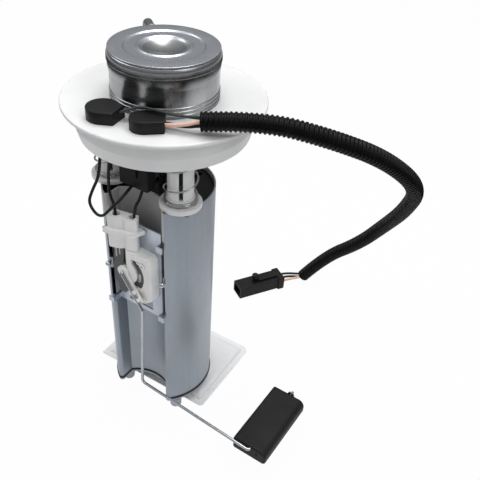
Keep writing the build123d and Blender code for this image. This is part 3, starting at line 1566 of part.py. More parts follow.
with BuildPart() as connector_cap:
    with BuildSketch(plug_end.offset(plug_length)):
        RectangleRounded(
            plug_width + 2 * plug_collar_margin,
            plug_height + 2 * plug_collar_margin,
            plug_edge_radius,
        )
    extrude(amount=plug_collar_length)
    fillet(connector_cap.faces().sort_by(Axis(plug_end.origin, plug_end.z_dir))[-1].edges(), 0.8)
save(connector_cap, "connector_cap")

lock_at = plug_plane.from_local_coords((-2.0, 0, plug_height + plug_collar_margin))
with BuildPart() as connector_lock:
    with BuildSketch(Plane.XY.offset(lock_at.Z)):
        with Locations((lock_at.X, lock_at.Y)):
            Circle(lock_radius)
    extrude(amount=lock_height)
    with BuildSketch(Plane.XY.offset(lock_at.Z + lock_height - 3.4)):
        with Locations((lock_at.X, lock_at.Y)):
            Circle(lock_head_radius)
    extrude(amount=3.4)
    fillet(connector_lock.faces().sort_by(Axis.Z)[-1].edges(), 1.6)
save(connector_lock, "connector_lock")

with BuildPart() as connector_terminals:
    with BuildSketch(plug_end.offset(plug_wall + 2.0)):
        with GridLocations(plug_pin_spacing, 0, plug_pin_count, 1):
            Rectangle(plug_pin_size, plug_pin_size / 2)
    extrude(amount=plug_mouth_depth - plug_wall - 2.0)
save(connector_terminals, "connector_terminals")

# Wires from the loom to the plug
loom_tail = Plane(
    loom_points[-1],
    x_dir=(0, 1, 0),
    z_dir=Vector(*loom_points[-2]) - Vector(*loom_points[-1]),
)
tail_reach = plug_length / 2 + plug_collar_length
tail_height = plug_height / 2 + plug_collar_margin
tail_places = [(5.4, 2.8, 0.0), (0.0, 0.0, -2.4), (-5.4, -2.8, 0.0)]
tail_wires = []
for socket_side, tail_side, tail_up in tail_places:
    tail_points = [
        tuple(loom_tail.from_local_coords((tail_side, tail_up, lead_depth))),
        tuple(loom_tail.from_local_coords((tail_side, tail_up, -1.0))),
        tuple(plug_plane.from_local_coords((tail_reach + 9.0, socket_side, tail_height))),
        tuple(plug_plane.from_local_coords((tail_reach, socket_side, tail_height))),
    ]
    tail_wires.append(tube("tail wire", tail_points, lead_radius))
with BuildPart() as tail_wires_black:
    add(tail_wires[0].part)
    add(tail_wires[1].part)
save(tail_wires_black, "tail_wires_black")
save(tail_wires[2], "tail_wire_pink")
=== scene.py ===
import logging
import math
from dataclasses import dataclass
from enum import Enum
from typing import Dict, List, Optional, Sequence, Tuple, Union

import bmesh
import bpy
import numpy as np
from mathutils import Matrix, Vector


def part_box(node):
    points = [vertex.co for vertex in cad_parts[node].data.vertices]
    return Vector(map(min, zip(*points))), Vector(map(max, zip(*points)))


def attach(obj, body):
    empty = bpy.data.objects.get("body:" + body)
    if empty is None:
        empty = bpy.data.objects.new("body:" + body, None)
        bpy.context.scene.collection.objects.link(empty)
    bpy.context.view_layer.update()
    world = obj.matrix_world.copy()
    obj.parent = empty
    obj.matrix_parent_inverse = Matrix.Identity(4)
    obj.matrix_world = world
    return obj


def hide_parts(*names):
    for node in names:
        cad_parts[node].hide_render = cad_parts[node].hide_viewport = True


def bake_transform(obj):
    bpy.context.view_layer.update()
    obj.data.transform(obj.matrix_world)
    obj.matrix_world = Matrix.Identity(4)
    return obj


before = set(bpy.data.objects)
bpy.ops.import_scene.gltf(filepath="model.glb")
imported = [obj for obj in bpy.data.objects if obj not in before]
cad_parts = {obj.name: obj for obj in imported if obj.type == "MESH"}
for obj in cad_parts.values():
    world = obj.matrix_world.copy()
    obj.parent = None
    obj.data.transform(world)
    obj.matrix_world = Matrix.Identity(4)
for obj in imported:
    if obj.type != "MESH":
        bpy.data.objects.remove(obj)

LOG = logging.getLogger("fuel_pump_module")
MM = 0.001
TURN = 2 * math.pi
SHARP = math.radians(35)
Pair = Tuple[float, float]
Point = Tuple[float, float, float]
Route = Sequence[Point]
Number = Union[int, float]
Operand = Union["Value", int, float]


# Shader maths


class Value:
    """A socket whose arithmetic adds Math nodes to the tree it belongs to."""

    def __init__(self, tree: "Tree", socket: bpy.types.NodeSocket) -> None:
        """Keep the tree and the socket."""
        self.tree = tree
        self.socket = socket

    def _math(self, operation: str, *others: Operand) -> "Value":
        """Add one Math node with this value first."""
        return self.tree.add("ShaderNodeMath", dict(enumerate((self, *others))), operation=operation)

    def __add__(self, other: Operand) -> "Value":
        """Add."""
        return self._math("ADD", other)

    __radd__ = __add__

    def __mul__(self, other: Operand) -> "Value":
        """Multiply."""
        return self._math("MULTIPLY", other)

    def __sub__(self, other: Operand) -> "Value":
        """Subtract."""
        return self._math("SUBTRACT", other)

    def __rsub__(self, other: Number) -> "Value":
        """Subtract this value from a number."""
        return self.tree.add("ShaderNodeMath", {0: other, 1: self}, operation="SUBTRACT")

    def squared(self) -> "Value":
        """Multiply the value by itself."""
        return self * self

    def sine(self) -> "Value":
        """Take the sine."""
        return self._math("SINE")

    def root(self) -> "Value":
        """Take the square root."""
        return self._math("SQRT")

    def above(self, limit: float) -> "Value":
        """Give 1 where the value is over a limit, else 0."""
        return self._math("GREATER_THAN", limit)

    def below(self, limit: float) -> "Value":
        """Give 1 where the value is under a limit, else 0."""
        return self._math("LESS_THAN", limit)

    def clamp(self) -> "Value":
        """Hold the value between 0 and 1."""
        return self.tree.add("ShaderNodeClamp", {"Value": self})

    def band(self, low: float, high: float) -> "Value":
        """Turn the range from low to high smoothly into 0 to 1."""
        inputs = {"Value": self, "From Min": low, "From Max": high}
        return self.tree.add("ShaderNodeMapRange", inputs, interpolation_type="SMOOTHSTEP")


class Tree:
    """The nodes of a material or of the world, with one method that adds any of them."""

    MIX_LOW, MIX_HIGH, MIX_COLOUR = 6, 7, 2

    def __init__(self, owner: Union[bpy.types.Material, bpy.types.World]) -> None:
        """Empty the owner's nodes."""
        owner.use_nodes = True
        self.nodes = owner.node_tree.nodes
        self.links = owner.node_tree.links
        self.nodes.clear()

    def add(
        self, kind: str, inputs: Optional[Dict] = None, out: Union[int, str] = 0, **settings: str
    ) -> Value:
        """Add one node.

        Args:
            kind: The node's type.
            inputs: Values or links of its sockets, by name or number.
            out: The output that is wanted.
            settings: The node's own properties, set first.

        Returns:
            That output, ready for arithmetic.
        """
        node = self.nodes.new(kind)
        for key, value in settings.items():
            setattr(node, key, value)
        for key, value in (inputs or {}).items():
            self.feed(node.inputs[key], value)
        return Value(self, node.outputs[out])

    def feed(self, socket: bpy.types.NodeSocket, value: Union[Value, Number, Sequence[float]]) -> None:
        """Link or set one socket."""
        if isinstance(value, Value):
            self.links.new(value.socket, socket)
        elif isinstance(value, (int, float)):
            socket.default_value = value
        else:
            socket.default_value = (*value, 1.0) if len(value) == 3 and socket.type == "RGBA" else value

    def axes(self, vector: Value) -> Tuple[Value, ...]:
        """Split a vector into its three numbers."""
        first = self.add("ShaderNodeSeparateXYZ", {0: vector})
        return tuple(Value(self, output) for output in first.socket.node.outputs)

    def place(self) -> Value:
        """Give the object's own coordinates in metres."""
        return self.add("ShaderNodeTexCoord", out="Object")

    def uv(self) -> Value:
        """Give the piece's own UV map."""
        return self.add("ShaderNodeUVMap", uv_map="along")

    def noise(
        self, scale: float, detail: float = 3.0, vector: Optional[Value] = None, stretch: Point = (1, 1, 1)
    ) -> Value:
        """Add a noise.

        Args:
            scale: Its frequency per metre.
            detail: Its octaves.
            vector: The coordinates, or the object's own.
            stretch: A factor on each axis.

        Returns:
            The noise, about 0 to 1.
        """
        source = vector or self.place()
        if stretch != (1, 1, 1):
            source = self.add("ShaderNodeMapping", {"Vector": source, "Scale": stretch})
        return self.add("ShaderNodeTexNoise", {"Vector": source, "Scale": scale, "Detail": detail})

    def mix(self, factor: Operand, low: Union[Value, Point], high: Union[Value, Point]) -> Value:
        """Mix two colours."""
        inputs = {0: factor, self.MIX_LOW: low, self.MIX_HIGH: high}
        return self.add("ShaderNodeMix", inputs, self.MIX_COLOUR, data_type="RGBA")


class Surface(Tree):
    """A material's nodes round one shader."""

    def __init__(self, name: str) -> None:
        """Start a material of that name with its output and shader."""
        self.material = bpy.data.materials.new(name)
        super().__init__(self.material)
        self.output = self.nodes.new("ShaderNodeOutputMaterial")
        self.shader = self.nodes.new("ShaderNodeBsdfPrincipled")
        self.links.new(self.shader.outputs[0], self.output.inputs["Surface"])

    def bump(self, height: Value, strength: float, distance: float) -> None:
        """Bump the surface.

        Args:
            height: The height, about 0 to 1.
            strength: How strongly it tells.
            distance: The height's size in metres.
        """
        inputs = {"Strength": strength, "Distance": distance, "Height": height}
        self.feed(self.shader.inputs["Normal"], self.add("ShaderNodeBump", inputs))

    def set(self, **sockets: Union[Value, Number, Sequence[float]]) -> None:
        """Set the shader's sockets, with underscores for spaces."""
        for key, value in sockets.items():
            self.feed(self.shader.inputs[key.replace("_", " ").title().replace("Ior", "IOR")], value)


# Finishes


@dataclass(frozen=True)
class Finish:
    """A surface's look, which dresses one new material of its own name."""

    name: str

    def material(self) -> bpy.types.Material:
        """Build the material."""
        tree = Surface(self.name)
        self.dress(tree)
        return tree.material

    def dress(self, tree: Surface) -> None:
        """Set the shader's sockets in this finish's own way."""
        raise NotImplementedError


@dataclass(frozen=True)
class MouldedPlastic(Finish):
    """A moulded plastic with flow marks, fine grain and a little dust or handling."""

    colour: Point
    shade: Point
    roughness: float = 0.4
    grain: float = 2600.0
    grain_depth: float = 0.00003
    glow: float = 0.0
    sheen: float = 0.5
    flow: float = 38.0
    smear: float = 120.0

    def dress(self, tree: Surface) -> None:
        """Set the shader's sockets."""
        flow = tree.noise(self.flow, 4.0)
        fine = tree.noise(self.grain, 2.0)
        smear = tree.noise(self.smear, 5.0, stretch=(1, 1, 0.25))
        marks = flow.band(0.35, 0.72) * 0.7 + smear.band(0.5, 0.8) * 0.3
        tree.set(
            base_color=tree.mix(marks, self.colour, self.shade),
            roughness=self.roughness + (smear - 0.5) * 0.16 + (fine - 0.5) * 0.06,
            ior=1.5,
            specular_ior_level=self.sheen,
        )
        if self.glow:
            tree.set(subsurface_weight=self.glow, subsurface_scale=0.004, subsurface_radius=(1.0, 0.9, 0.8))
        tree.bump(fine * 0.7 + flow * 0.3, 0.35, self.grain_depth)


class MetalGrain(Enum):
    """Which way the fine marks of a metal run."""

    DRAWN = (1.0, 1.0, 0.03)
    CAST = (1.0, 1.0, 1.0)


@dataclass(frozen=True)
class Metal(Finish):
    """A metal with fine marks, a cloudy polish and dull patches."""

    colour: Point
    shade: Point
    roughness: float
    grain: MetalGrain = MetalGrain.CAST
    marks: float = 900.0
    mark_depth: float = 0.00002
    cloud: float = 30.0
    specks: float = 700.0
    spread: float = 0.12
    metallic: float = 1.0

    def dress(self, tree: Surface) -> None:
        """Set the shader's sockets."""
        cloud = tree.noise(self.cloud, 4.0)
        marks = tree.noise(self.marks, 3.0, stretch=self.grain.value)
        speck = tree.noise(self.specks, 2.0)
        worn = cloud.band(0.38, 0.7) * 0.75 + marks.band(0.4, 0.75) * 0.25
        roughness = self.roughness + (cloud - 0.5) * self.spread + (marks - 0.5) * self.spread * 0.8
        tree.set(
            base_color=tree.mix(worn, self.colour, self.shade),
            metallic=self.metallic,
            roughness=(roughness + speck.band(0.66, 0.74) * 0.08).clamp(),
        )
        tree.bump(marks * 0.8 + speck * 0.2, 0.25, self.mark_depth)


@dataclass(frozen=True)
class GalvanisedSheet(Finish):
    """Zinc-plated sheet: satin, bluish, with long rolling marks and faint cloudy patches, and a paler, less
    metallic colour painted light on the inner walls in the flange's shade.
    """

    name: str = "galvanised_sheet"
    colour: Point = (0.39, 0.43, 0.48)
    shade: Point = (0.32, 0.35, 0.395)
    roughness: float = 0.42
    # Painted light: a paler colour that lightens the channel walls and the inner face where the flange's
    # shade falls.
    inside: Point = (0.5, 0.495, 0.485)
    rolling: float = 420.0
    cloud: float = 16.0
    spangle: float = 260.0
    inner_radius: float = 0.0
    middle: Pair = (0.0048, -0.0154)
    painted_light_from_y: float = -0.02
    shaded_from_z: float = -0.125
    shaded_full_z: float = -0.075

    def dress(self, tree: Surface) -> None:
        """Set the shader's sockets."""
        rolling = tree.noise(self.rolling, 4.0, stretch=(1, 1, 0.02))
        cloud = tree.noise(self.cloud, 3.0, stretch=(1, 1, 0.6))
        spangle = tree.add("ShaderNodeTexVoronoi", {"Vector": tree.place(), "Scale": self.spangle}, "Color")
        tone = tree.axes(spangle)[0]
        worn = cloud.band(0.3, 0.75) * 0.7 + rolling.band(0.35, 0.7) * 0.12 + tone * 0.18
        x, y, z = tree.axes(tree.place())
        radius = ((x - self.middle[0]).squared() + (y - self.middle[1]).squared()).root()
        # Painted light: the mask of the shaded inner surfaces, behind and high up, that get the paler, less
        # metallic colour.
        deep = (y.above(self.painted_light_from_y) + z.band(self.shaded_from_z, self.shaded_full_z)).clamp()
        painted_light_mask = radius.below(self.inner_radius) * deep
        tree.set(
            base_color=tree.mix(painted_light_mask, tree.mix(worn, self.colour, self.shade), self.inside),
            metallic=0.72 - painted_light_mask * 0.6,
            roughness=(self.roughness + (cloud - 0.5) * 0.16 + (rolling - 0.5) * 0.08 + painted_light_mask * 0.2).clamp(),
        )
        tree.bump(rolling * 0.8 + tone * 0.2, 0.1, 0.00002)


@dataclass(frozen=True)
class PolishedCan(Finish):
    """Polished plated steel with turned rings on its top; its side is darker than its top as a painted dark
    reflection, and light smears round its side grow towards its foot as a painted reflection of the white
    flange.
    """

    name: str = "polished_can"
    colour: Point = (0.6, 0.62, 0.66)
    shade: Point = (0.48, 0.495, 0.525)
    # Painted reflection: the side colour is darker than the top, and the lighter streak colour stands for the
    # white flange reflected low on the side.
    side: Point = (0.3, 0.303, 0.31)
    flange_reflection: Point = (0.52, 0.523, 0.53)
    roughness: float = 0.2
    top: Pair = (0.0368, 0.0379)
    reflection_fade: float = 0.014
    smear: float = 55.0
    streak: float = 34.0

    def dress(self, tree: Surface) -> None:
        """Set the shader's sockets."""
        x, y, z = tree.axes(tree.place())
        radius = (x.squared() + y.squared()).root()
        rings = tree.add("ShaderNodeCombineXYZ", {0: radius * 1500.0, 1: z * 300.0, 2: 0.0})
        lathe = tree.noise(1.0, 3.0, rings)
        dull = tree.noise(self.smear, 5.0, stretch=(1, 1, 0.4)).band(0.45, 0.8)
        streak = tree.noise(self.streak, 4.0, stretch=(1, 1, 0.3)).band(0.5, 0.72)
        # Painted reflection: light streaks that grow towards the foot over a darkened side.
        side = tree.mix(streak * (self.reflection_fade - z).band(-0.016, 0.006), self.side, self.flange_reflection)
        tree.set(
            base_color=tree.mix(z.band(*self.top), side, tree.mix(dull * 0.7, self.colour, self.shade)),
            metallic=1.0,
            roughness=(self.roughness + lathe * 0.07 + dull * 0.1).clamp(),
        )
        tree.bump(lathe, 0.12, 0.00001)


@dataclass(frozen=True)
class SatinRubber(Finish):
    """Black rubber or soft plastic with a dusty bloom."""

    colour: Point = (0.012, 0.012, 0.013)
    bloom: Point = (0.045, 0.045, 0.047)
    roughness: float = 0.6
    grain: float = 1500.0
    sheen: float = 0.3
    dust: float = 90.0

    def dress(self, tree: Surface) -> None:
        """Set the shader's sockets."""
        dust = tree.noise(self.dust, 5.0)
        fine = tree.noise(self.grain, 3.0)
        tree.set(
            base_color=tree.mix(dust.band(0.42, 0.78), self.colour, self.bloom),
            roughness=(self.roughness + (dust - 0.5) * 0.22 + (fine - 0.5) * 0.12).clamp(),
            specular_ior_level=self.sheen,
        )
        tree.bump(fine, 0.4, 0.00004)


@dataclass(frozen=True)
class WireInsulation(Finish):
    """Thin glossy insulation that follows the wire, with faint drawing lines and scuffs."""

    colour: Point
    shade: Point
    roughness: float = 0.34
    lines: Point = (60.0, 9.0, 1.0)
    scuffs: Point = (220.0, 3.0, 1.0)

    def dress(self, tree: Surface) -> None:
        """Set the shader's sockets."""
        along = tree.uv()
        lines = tree.noise(1.0, 3.0, along, self.lines)
        scuff = tree.noise(1.0, 4.0, along, self.scuffs)
        tree.set(
            base_color=tree.mix(lines * 0.6 + scuff.band(0.55, 0.8) * 0.4, self.colour, self.shade),
            roughness=(self.roughness + (scuff - 0.5) * 0.2).clamp(),
            specular_ior_level=0.3,
        )
        tree.bump(lines, 0.15, 0.00003)


@dataclass(frozen=True)
class WovenMesh(Finish):
    """White strainer cloth: a fine plain weave with a soft glow, and a darker band of painted shade along the
    crease inside its welded border.
    """

    name: str = "strainer_mesh"
    colour: Point = (0.95, 0.95, 0.95)
    gap: Point = (0.8, 0.803, 0.805)
    seal: Point = (0.86, 0.862, 0.865)
    # Painted shade: the darker colour of the crease just inside the welded border.
    crease: Point = (0.66, 0.665, 0.67)
    stain: Point = (0.66, 0.67, 0.66)
    pitch: float = 0.0007
    seal_width: float = 0.005
    seal_edge: float = 0.0004
    crease_shade_width: float = 0.0018

    def dress(self, tree: Surface) -> None:
        """Set the shader's sockets."""
        x, y, z = tree.axes(tree.place())
        warp, weft = (((axis * (TURN / self.pitch)).sine() + 1.0) * 0.5 for axis in (x, y))
        weave = warp * weft
        stain = tree.noise(26.0, 5.0)
        face = tree.mix(weave.band(0.1, 0.8), self.gap, self.colour)
        inset = tree.axes(tree.uv())[0]
        start = self.seal_width + self.seal_edge
        cloth = inset.band(self.seal_width, start)
        # Painted shade: this mask darkens a narrow band where the cloth rises from the border.
        fold = cloth * (1.0 - inset.band(start, start + self.crease_shade_width))
        face = tree.mix(cloth, self.seal, face)
        face = tree.mix(fold * 0.7, face, self.crease)
        tree.set(
            base_color=tree.mix(stain.band(0.5, 0.85) * 0.25, face, self.stain),
            roughness=0.6 + stain * 0.2,
            subsurface_weight=0.08,
            subsurface_scale=0.002,
        )
        tree.bump(weave, 0.5, 0.0001)


@dataclass(frozen=True)
class SenderMoulding(Finish):
    """Pale nylon whose low left wing is as dark as the card that it carries, with fine printed lines."""

    name: str = "sender_moulding"
    pale: Point = (0.92, 0.92, 0.905)
    pale_shade: Point = (0.83, 0.83, 0.815)
    card: Point = (0.045, 0.045, 0.047)
    card_shade: Point = (0.1, 0.098, 0.092)
    wing_edge: float = 0.00315
    boss: Point = (0.0009, 0.0, -0.1216)
    boss_radius: float = 0.0036
    print_pitch: float = 0.0016
    print_from_x: float = -0.0075

    def dress(self, tree: Surface) -> None:
        """Set the shader's sockets."""
        x, y, z = tree.axes(tree.place())
        away = ((x - self.boss[0]).squared() + (z - self.boss[2]).squared()).root()
        dark = x.below(self.wing_edge) * away.above(self.boss_radius)
        broad = tree.noise(60.0, 4.0)
        fine = tree.noise(2600.0, 2.0)
        print_rows = (z * (TURN / self.print_pitch) + x * 900.0).sine().band(0.75, 0.95)
        lines = print_rows * x.band(self.print_from_x, self.print_from_x + 0.0004)
        face = tree.mix(broad.band(0.35, 0.72), self.pale, self.pale_shade)
        card = tree.mix(broad.band(0.3, 0.7) * 0.6 + lines * 0.25, self.card, self.card_shade)
        tree.set(
            base_color=tree.mix(dark, face, card),
            roughness=0.42 + (broad - 0.5) * 0.14 + (fine - 0.5) * 0.06,
        )
        tree.bump(fine * 0.7 + broad * 0.3, 0.35, 0.00003)


@dataclass(frozen=True)
class PrintedCard(Finish):
    """Dark printed ceramic with faint rows of print, two open slots above and a pin hole near its foot,
    painted near-black as painted shade.

    Each slot is its middle x, its half width and its foot z; the hole is its x, its radius and its z.
    """

    name: str = "printed_card"
    colour: Point = (0.055, 0.055, 0.057)
    shade: Point = (0.1, 0.099, 0.096)
    open: Point = (0.5, 0.505, 0.51)
    slots: Tuple[Point, ...] = ((-0.0087, 0.0007, -0.1145), (-0.0051, 0.0006, -0.111))
    hole: Point = (-0.0041, 0.0008, -0.1455)
    print_pitch: float = 0.0014

    def dress(self, tree: Surface) -> None:
        """Set the shader's sockets."""
        x, y, z = tree.axes(tree.place())
        broad = tree.noise(90.0, 4.0)
        print_rows = (z * (TURN / self.print_pitch) + x * 500.0).sine().band(0.8, 0.96) * broad.band(0.4, 0.6)
        face = tree.mix(broad.band(0.3, 0.7) * 0.7 + print_rows * 0.2, self.colour, self.shade)
        for middle, half, foot in self.slots:
            opened = (x - middle).squared().below(half * half) * z.above(foot)
            face = tree.mix(opened, face, self.open)
        # Painted shade: the pin hole is a near-black disc.
        away = (x - self.hole[0]).squared() + (z - self.hole[2]).squared()
        face = tree.mix(away.below(self.hole[1] ** 2), face, (0.004, 0.004, 0.004))
        tree.set(base_color=face, roughness=0.42 + (broad - 0.5) * 0.16)
        tree.bump(broad, 0.2, 0.00003)


@dataclass(frozen=True)
class PleatedPaper(Finish):
    """Resin-stiffened filter paper."""

    name: str = "pleated_paper"

    def dress(self, tree: Surface) -> None:
        """Set the shader's sockets."""
        fibre = tree.noise(1800.0, 4.0)
        tree.set(base_color=tree.mix(fibre, (0.62, 0.52, 0.32), (0.78, 0.7, 0.5)), roughness=0.8)
        tree.bump(fibre, 0.4, 0.00006)


WHITE = MouldedPlastic("white_acetal", (0.79, 0.791, 0.793), (0.735, 0.737, 0.74), 0.36, glow=0.12)
IVORY = MouldedPlastic("sender_nylon", (0.92, 0.92, 0.905), (0.85, 0.85, 0.835), 0.42, glow=0.12)
BLACK = MouldedPlastic("black_nylon", (0.006, 0.006, 0.0065), (0.013, 0.013, 0.014), 0.46, sheen=0.22)
FLOAT_BLACK = MouldedPlastic(
    "float_foam", (0.006, 0.006, 0.006), (0.013, 0.013, 0.013), 0.5, 3600.0, 0.00006, sheen=0.24
)
CONDUIT = SatinRubber("conduit_black", (0.002, 0.002, 0.0022), (0.006, 0.006, 0.0065), 0.34, 900.0, 0.13)
RUBBER = SatinRubber("rubber_black")
SHEET = GalvanisedSheet(inner_radius=0.0421)
BASE_SHEET = GalvanisedSheet("base_sheet", (0.4, 0.44, 0.49), (0.3, 0.33, 0.37), 0.44)
CAN = PolishedCan()
BRIGHT = Metal("bright_wire", (0.68, 0.68, 0.68), (0.5, 0.5, 0.5), 0.11, MetalGrain.DRAWN, spread=0.06)
ARM_STEEL = Metal("arm_wire", (0.5, 0.52, 0.55), (0.36, 0.38, 0.41), 0.13, MetalGrain.DRAWN, spread=0.06)
SPRING = Metal("spring_wire", (0.52, 0.52, 0.51), (0.34, 0.34, 0.33), 0.2, MetalGrain.CAST)
ZINC = Metal("zinc_plate", (0.56, 0.6, 0.68), (0.44, 0.48, 0.55), 0.34, MetalGrain.DRAWN, metallic=0.75)
ALLOY = Metal("die_cast_alloy", (0.68, 0.68, 0.68), (0.5, 0.5, 0.5), 0.42)
COPPER = Metal("tinned_copper", (0.78, 0.52, 0.34), (0.6, 0.5, 0.42), 0.32)
IRON = Metal("motor_iron", (0.16, 0.16, 0.16), (0.08, 0.08, 0.08), 0.5)
CARD = PrintedCard()
MOULDING = SenderMoulding()
MESH = WovenMesh()
PAPER = PleatedPaper()
WIRE_BLACK = WireInsulation("wire_black_cover", (0.005, 0.0055, 0.0055), (0.013, 0.014, 0.014), 0.3)
WIRE_PINK = WireInsulation("wire_pink_cover", (0.84, 0.53, 0.41), (0.74, 0.45, 0.35), 0.38)
WIRE_GREY = WireInsulation("wire_grey_cover", (0.022, 0.034, 0.03), (0.06, 0.075, 0.07), 0.34)

NODE_FINISHES = {
    WHITE: ("flange", "strut_guides", "strainer_neck"),
    MOULDING: ("sender_housing",),
    IVORY: ("wiper_carrier",),
    BLACK: (
        "strut_posts", "harness_connector", "reservoir_cover",
        "connector_housing", "connector_cap", "connector_lock", "regulator_housing", "pump_outlet_cover",
        "check_valve_poppet", "impeller",
    ),
    SHEET: ("reservoir_shell",),
    BASE_SHEET: ("reservoir_base", "pump_shell"),
    CAN: ("fuel_outlet_tube",),
    ARM_STEEL: ("float_arm_wire",),
    BRIGHT: ("bracket_rivets", "hose_clamp_lower", "hose_clamp_upper", "motor_shaft", "regulator_valve"),
    SPRING: ("regulator_spring",),
    ZINC: ("sender_bracket",),
    ALLOY: ("pump_inlet_cover", "pump_channel_plate"),
    COPPER: ("commutator", "terminal_pins", "connector_terminals"),
    IRON: ("armature", "pump_magnets", "pump_brushes"),
    RUBBER: ("pump_isolator",),
    PAPER: ("filter_element",),
}


class Paint:
    """Makes each finish's material once and puts it on objects."""

    def __init__(self) -> None:
        """Start with nothing made."""
        self.made: Dict[str, bpy.types.Material] = {}

    def material(self, finish: Finish) -> bpy.types.Material:
        """Give a finish's material, made on first use."""
        if finish.name not in self.made:
            self.made[finish.name] = finish.material()
        return self.made[finish.name]

    def node(self, name: str, finish: Finish) -> None:
        """Put a finish on a node of the frame."""
        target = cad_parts[name]
        for place in target.material_slots:
            place.material = self.material(finish)
        if not target.material_slots:
            target.data.materials.append(self.material(finish))

    def piece(self, target: bpy.types.Object, finish: Finish, slot: str, node: str, body: str = "") -> None:
        """Dress a new piece and hide the node that it stands for.

        Args:
            target: The piece.
            finish: Its finish.
            slot: Its slot's name; not used.
            node: The CAD node that it replaces.
            body: The body that it rides on, left out where it rides on none.
        """
        target.data.materials.clear()
        target.data.materials.append(self.material(finish))
        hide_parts(node)
        if body:
            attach(target, body)


PAINT = Paint()


# Surfaces


def new_object(name: str, data: bpy.types.ID) -> bpy.types.Object:
    """Make an object of some data and link it to the scene."""
    made = bpy.data.objects.new(name, data)
    bpy.context.scene.collection.objects.link(made)
    return made


def weld(piece: bpy.types.Object, distance: float = 0.000001) -> None:
    """Merge a mesh's doubled points and turn its faces outwards.

    Args:
        piece: The mesh object.
        distance: How near points merge, in metres.
    """
    mesh = bmesh.new()
    mesh.from_mesh(piece.data)
    bmesh.ops.remove_doubles(mesh, verts=mesh.verts, dist=distance)
    bmesh.ops.recalc_face_normals(mesh, faces=mesh.faces)
    mesh.to_mesh(piece.data)
    mesh.free()
    piece.data.polygons.foreach_set("use_smooth", np.ones(len(piece.data.polygons), bool))


def face_object(
    name: str, vertices: np.ndarray, faces: np.ndarray, uv: Optional[np.ndarray] = None
) -> bpy.types.Object:
    """Make a mesh object from vertices and quads.

    Args:
        name: The object's name.
        vertices: Array of n by 3, in metres.
        faces: Array of m by 4 vertex numbers.
        uv: Optional array of n by 2 for the map named along.

    Returns:
        The object, linked to the scene.
    """
    mesh = bpy.data.meshes.new(name)
    mesh.vertices.add(len(vertices))
    mesh.vertices.foreach_set("co", np.ascontiguousarray(vertices, np.float32).ravel())
    mesh.loops.add(faces.size)
    mesh.loops.foreach_set("vertex_index", np.ascontiguousarray(faces, np.int32).ravel())
    mesh.polygons.add(len(faces))
    mesh.polygons.foreach_set("loop_start", np.arange(0, faces.size, faces.shape[1], dtype=np.int32))
    mesh.update(calc_edges=True)
    mesh.validate()
    if uv is not None:
        layer = mesh.uv_layers.new(name="along")
        layer.data.foreach_set("uv", np.ascontiguousarray(uv[faces.ravel()], np.float32).ravel())
    return new_object(name, mesh)


def grid_object(
    name: str, points: np.ndarray, close_v: bool = False, uv: Optional[np.ndarray] = None
) -> bpy.types.Object:
    """Make a smooth, welded mesh from a grid of points, quad [i, j] joining points i, i+1 and j, j+1.

    Args:
        name: The object's name.
        points: Array of rows by columns by 3, in metres.
        close_v: Whether the last column joins the first.
        uv: Optional array of rows by columns by 2 for the map named along.

    Returns:
        The object, with its faces outwards.
    """
    rows, columns = points.shape[:2]
    i, j = np.meshgrid(np.arange(rows - 1), np.arange(columns if close_v else columns - 1), indexing="ij")
    here, below, after = i * columns, (i + 1) * columns, (j + 1) % columns
    quads = np.stack([here + j, here + after, below + after, below + j], -1).reshape(-1, 4)
    piece = face_object(name, points.reshape(-1, 3), quads, None if uv is None else uv.reshape(-1, 2))
    weld(piece)
    return piece


def soft_profile(points: Sequence[Pair], radius: Union[float, Sequence[float]], steps: int = 5) -> np.ndarray:
    """Round a profile: each corner p becomes p + (1-t)^2 a + t^2 b, with a and b towards its neighbours.

    Args:
        points: Corners (r, z) in millimetres, an open line.
        radius: The cut back from each inner corner, one or one per inner corner.
        steps: Points on each arc.

    Returns:
        Array of points by 2, in millimetres.
    """
    corners = np.array(points, float)
    cuts = np.broadcast_to(radius, len(corners) - 2)
    t = np.linspace(0, 1, steps)[:, None]
    before = corners[:-2] - corners[1:-1]
    after = corners[2:] - corners[1:-1]
    reach_a, reach_b = np.linalg.norm(before, axis=1), np.linalg.norm(after, axis=1)
    cut = np.minimum(cuts, 0.48 * np.minimum(reach_a, reach_b))
    a = (before / reach_a[:, None] * cut[:, None])[:, None, :]
    b = (after / reach_b[:, None] * cut[:, None])[:, None, :]
    arcs = corners[1:-1, None, :] + a * (1 - t) ** 2 + b * t**2
    return np.concatenate([corners[:1], arcs.reshape(-1, 2), corners[-1:]])


def soft_rectangle(half: Pair, bends: Sequence[float], arc_steps: int, run_steps: int) -> np.ndarray:
    """Trace a rectangle's outline: four arcs joined by straight runs.

    Args:
        half: Half its two sides.
        bends: Each corner's radius, the ++ corner first, then -+, -- and +-.
        arc_steps: Points on each arc.
        run_steps: Points on each run, with its ends.

    Returns:
        Array of points by 2, about the middle.
    """
    corners = []
    for quarter, (bend, sign) in enumerate(zip(bends, ((1, 1), (-1, 1), (-1, -1), (1, -1)))):
        angle = np.linspace(quarter, quarter + 1, arc_steps) * math.pi / 2
        middle = (sign[0] * (half[0] - bend), sign[1] * (half[1] - bend))
        corners.append(np.column_stack([middle[0] + bend * np.cos(angle), middle[1] + bend * np.sin(angle)]))
    line = []
    for corner, following in zip(corners, corners[1:] + corners[:1]):
        run = np.linspace(0, 1, run_steps)[1:-1, None]
        line += [corner, corner[-1] * (1 - run) + following[0] * run]
    return np.concatenate(line)


def turned(x: np.ndarray, y: np.ndarray, degrees: float, centre: Pair) -> Tuple[np.ndarray, np.ndarray]:
    """Turn plan coordinates and move them: (cx + x cos a - y sin a, cy + x sin a + y cos a)."""
    cosine, sine = math.cos(math.radians(degrees)), math.sin(math.radians(degrees))
    return centre[0] + x * cosine - y * sine, centre[1] + x * sine + y * cosine


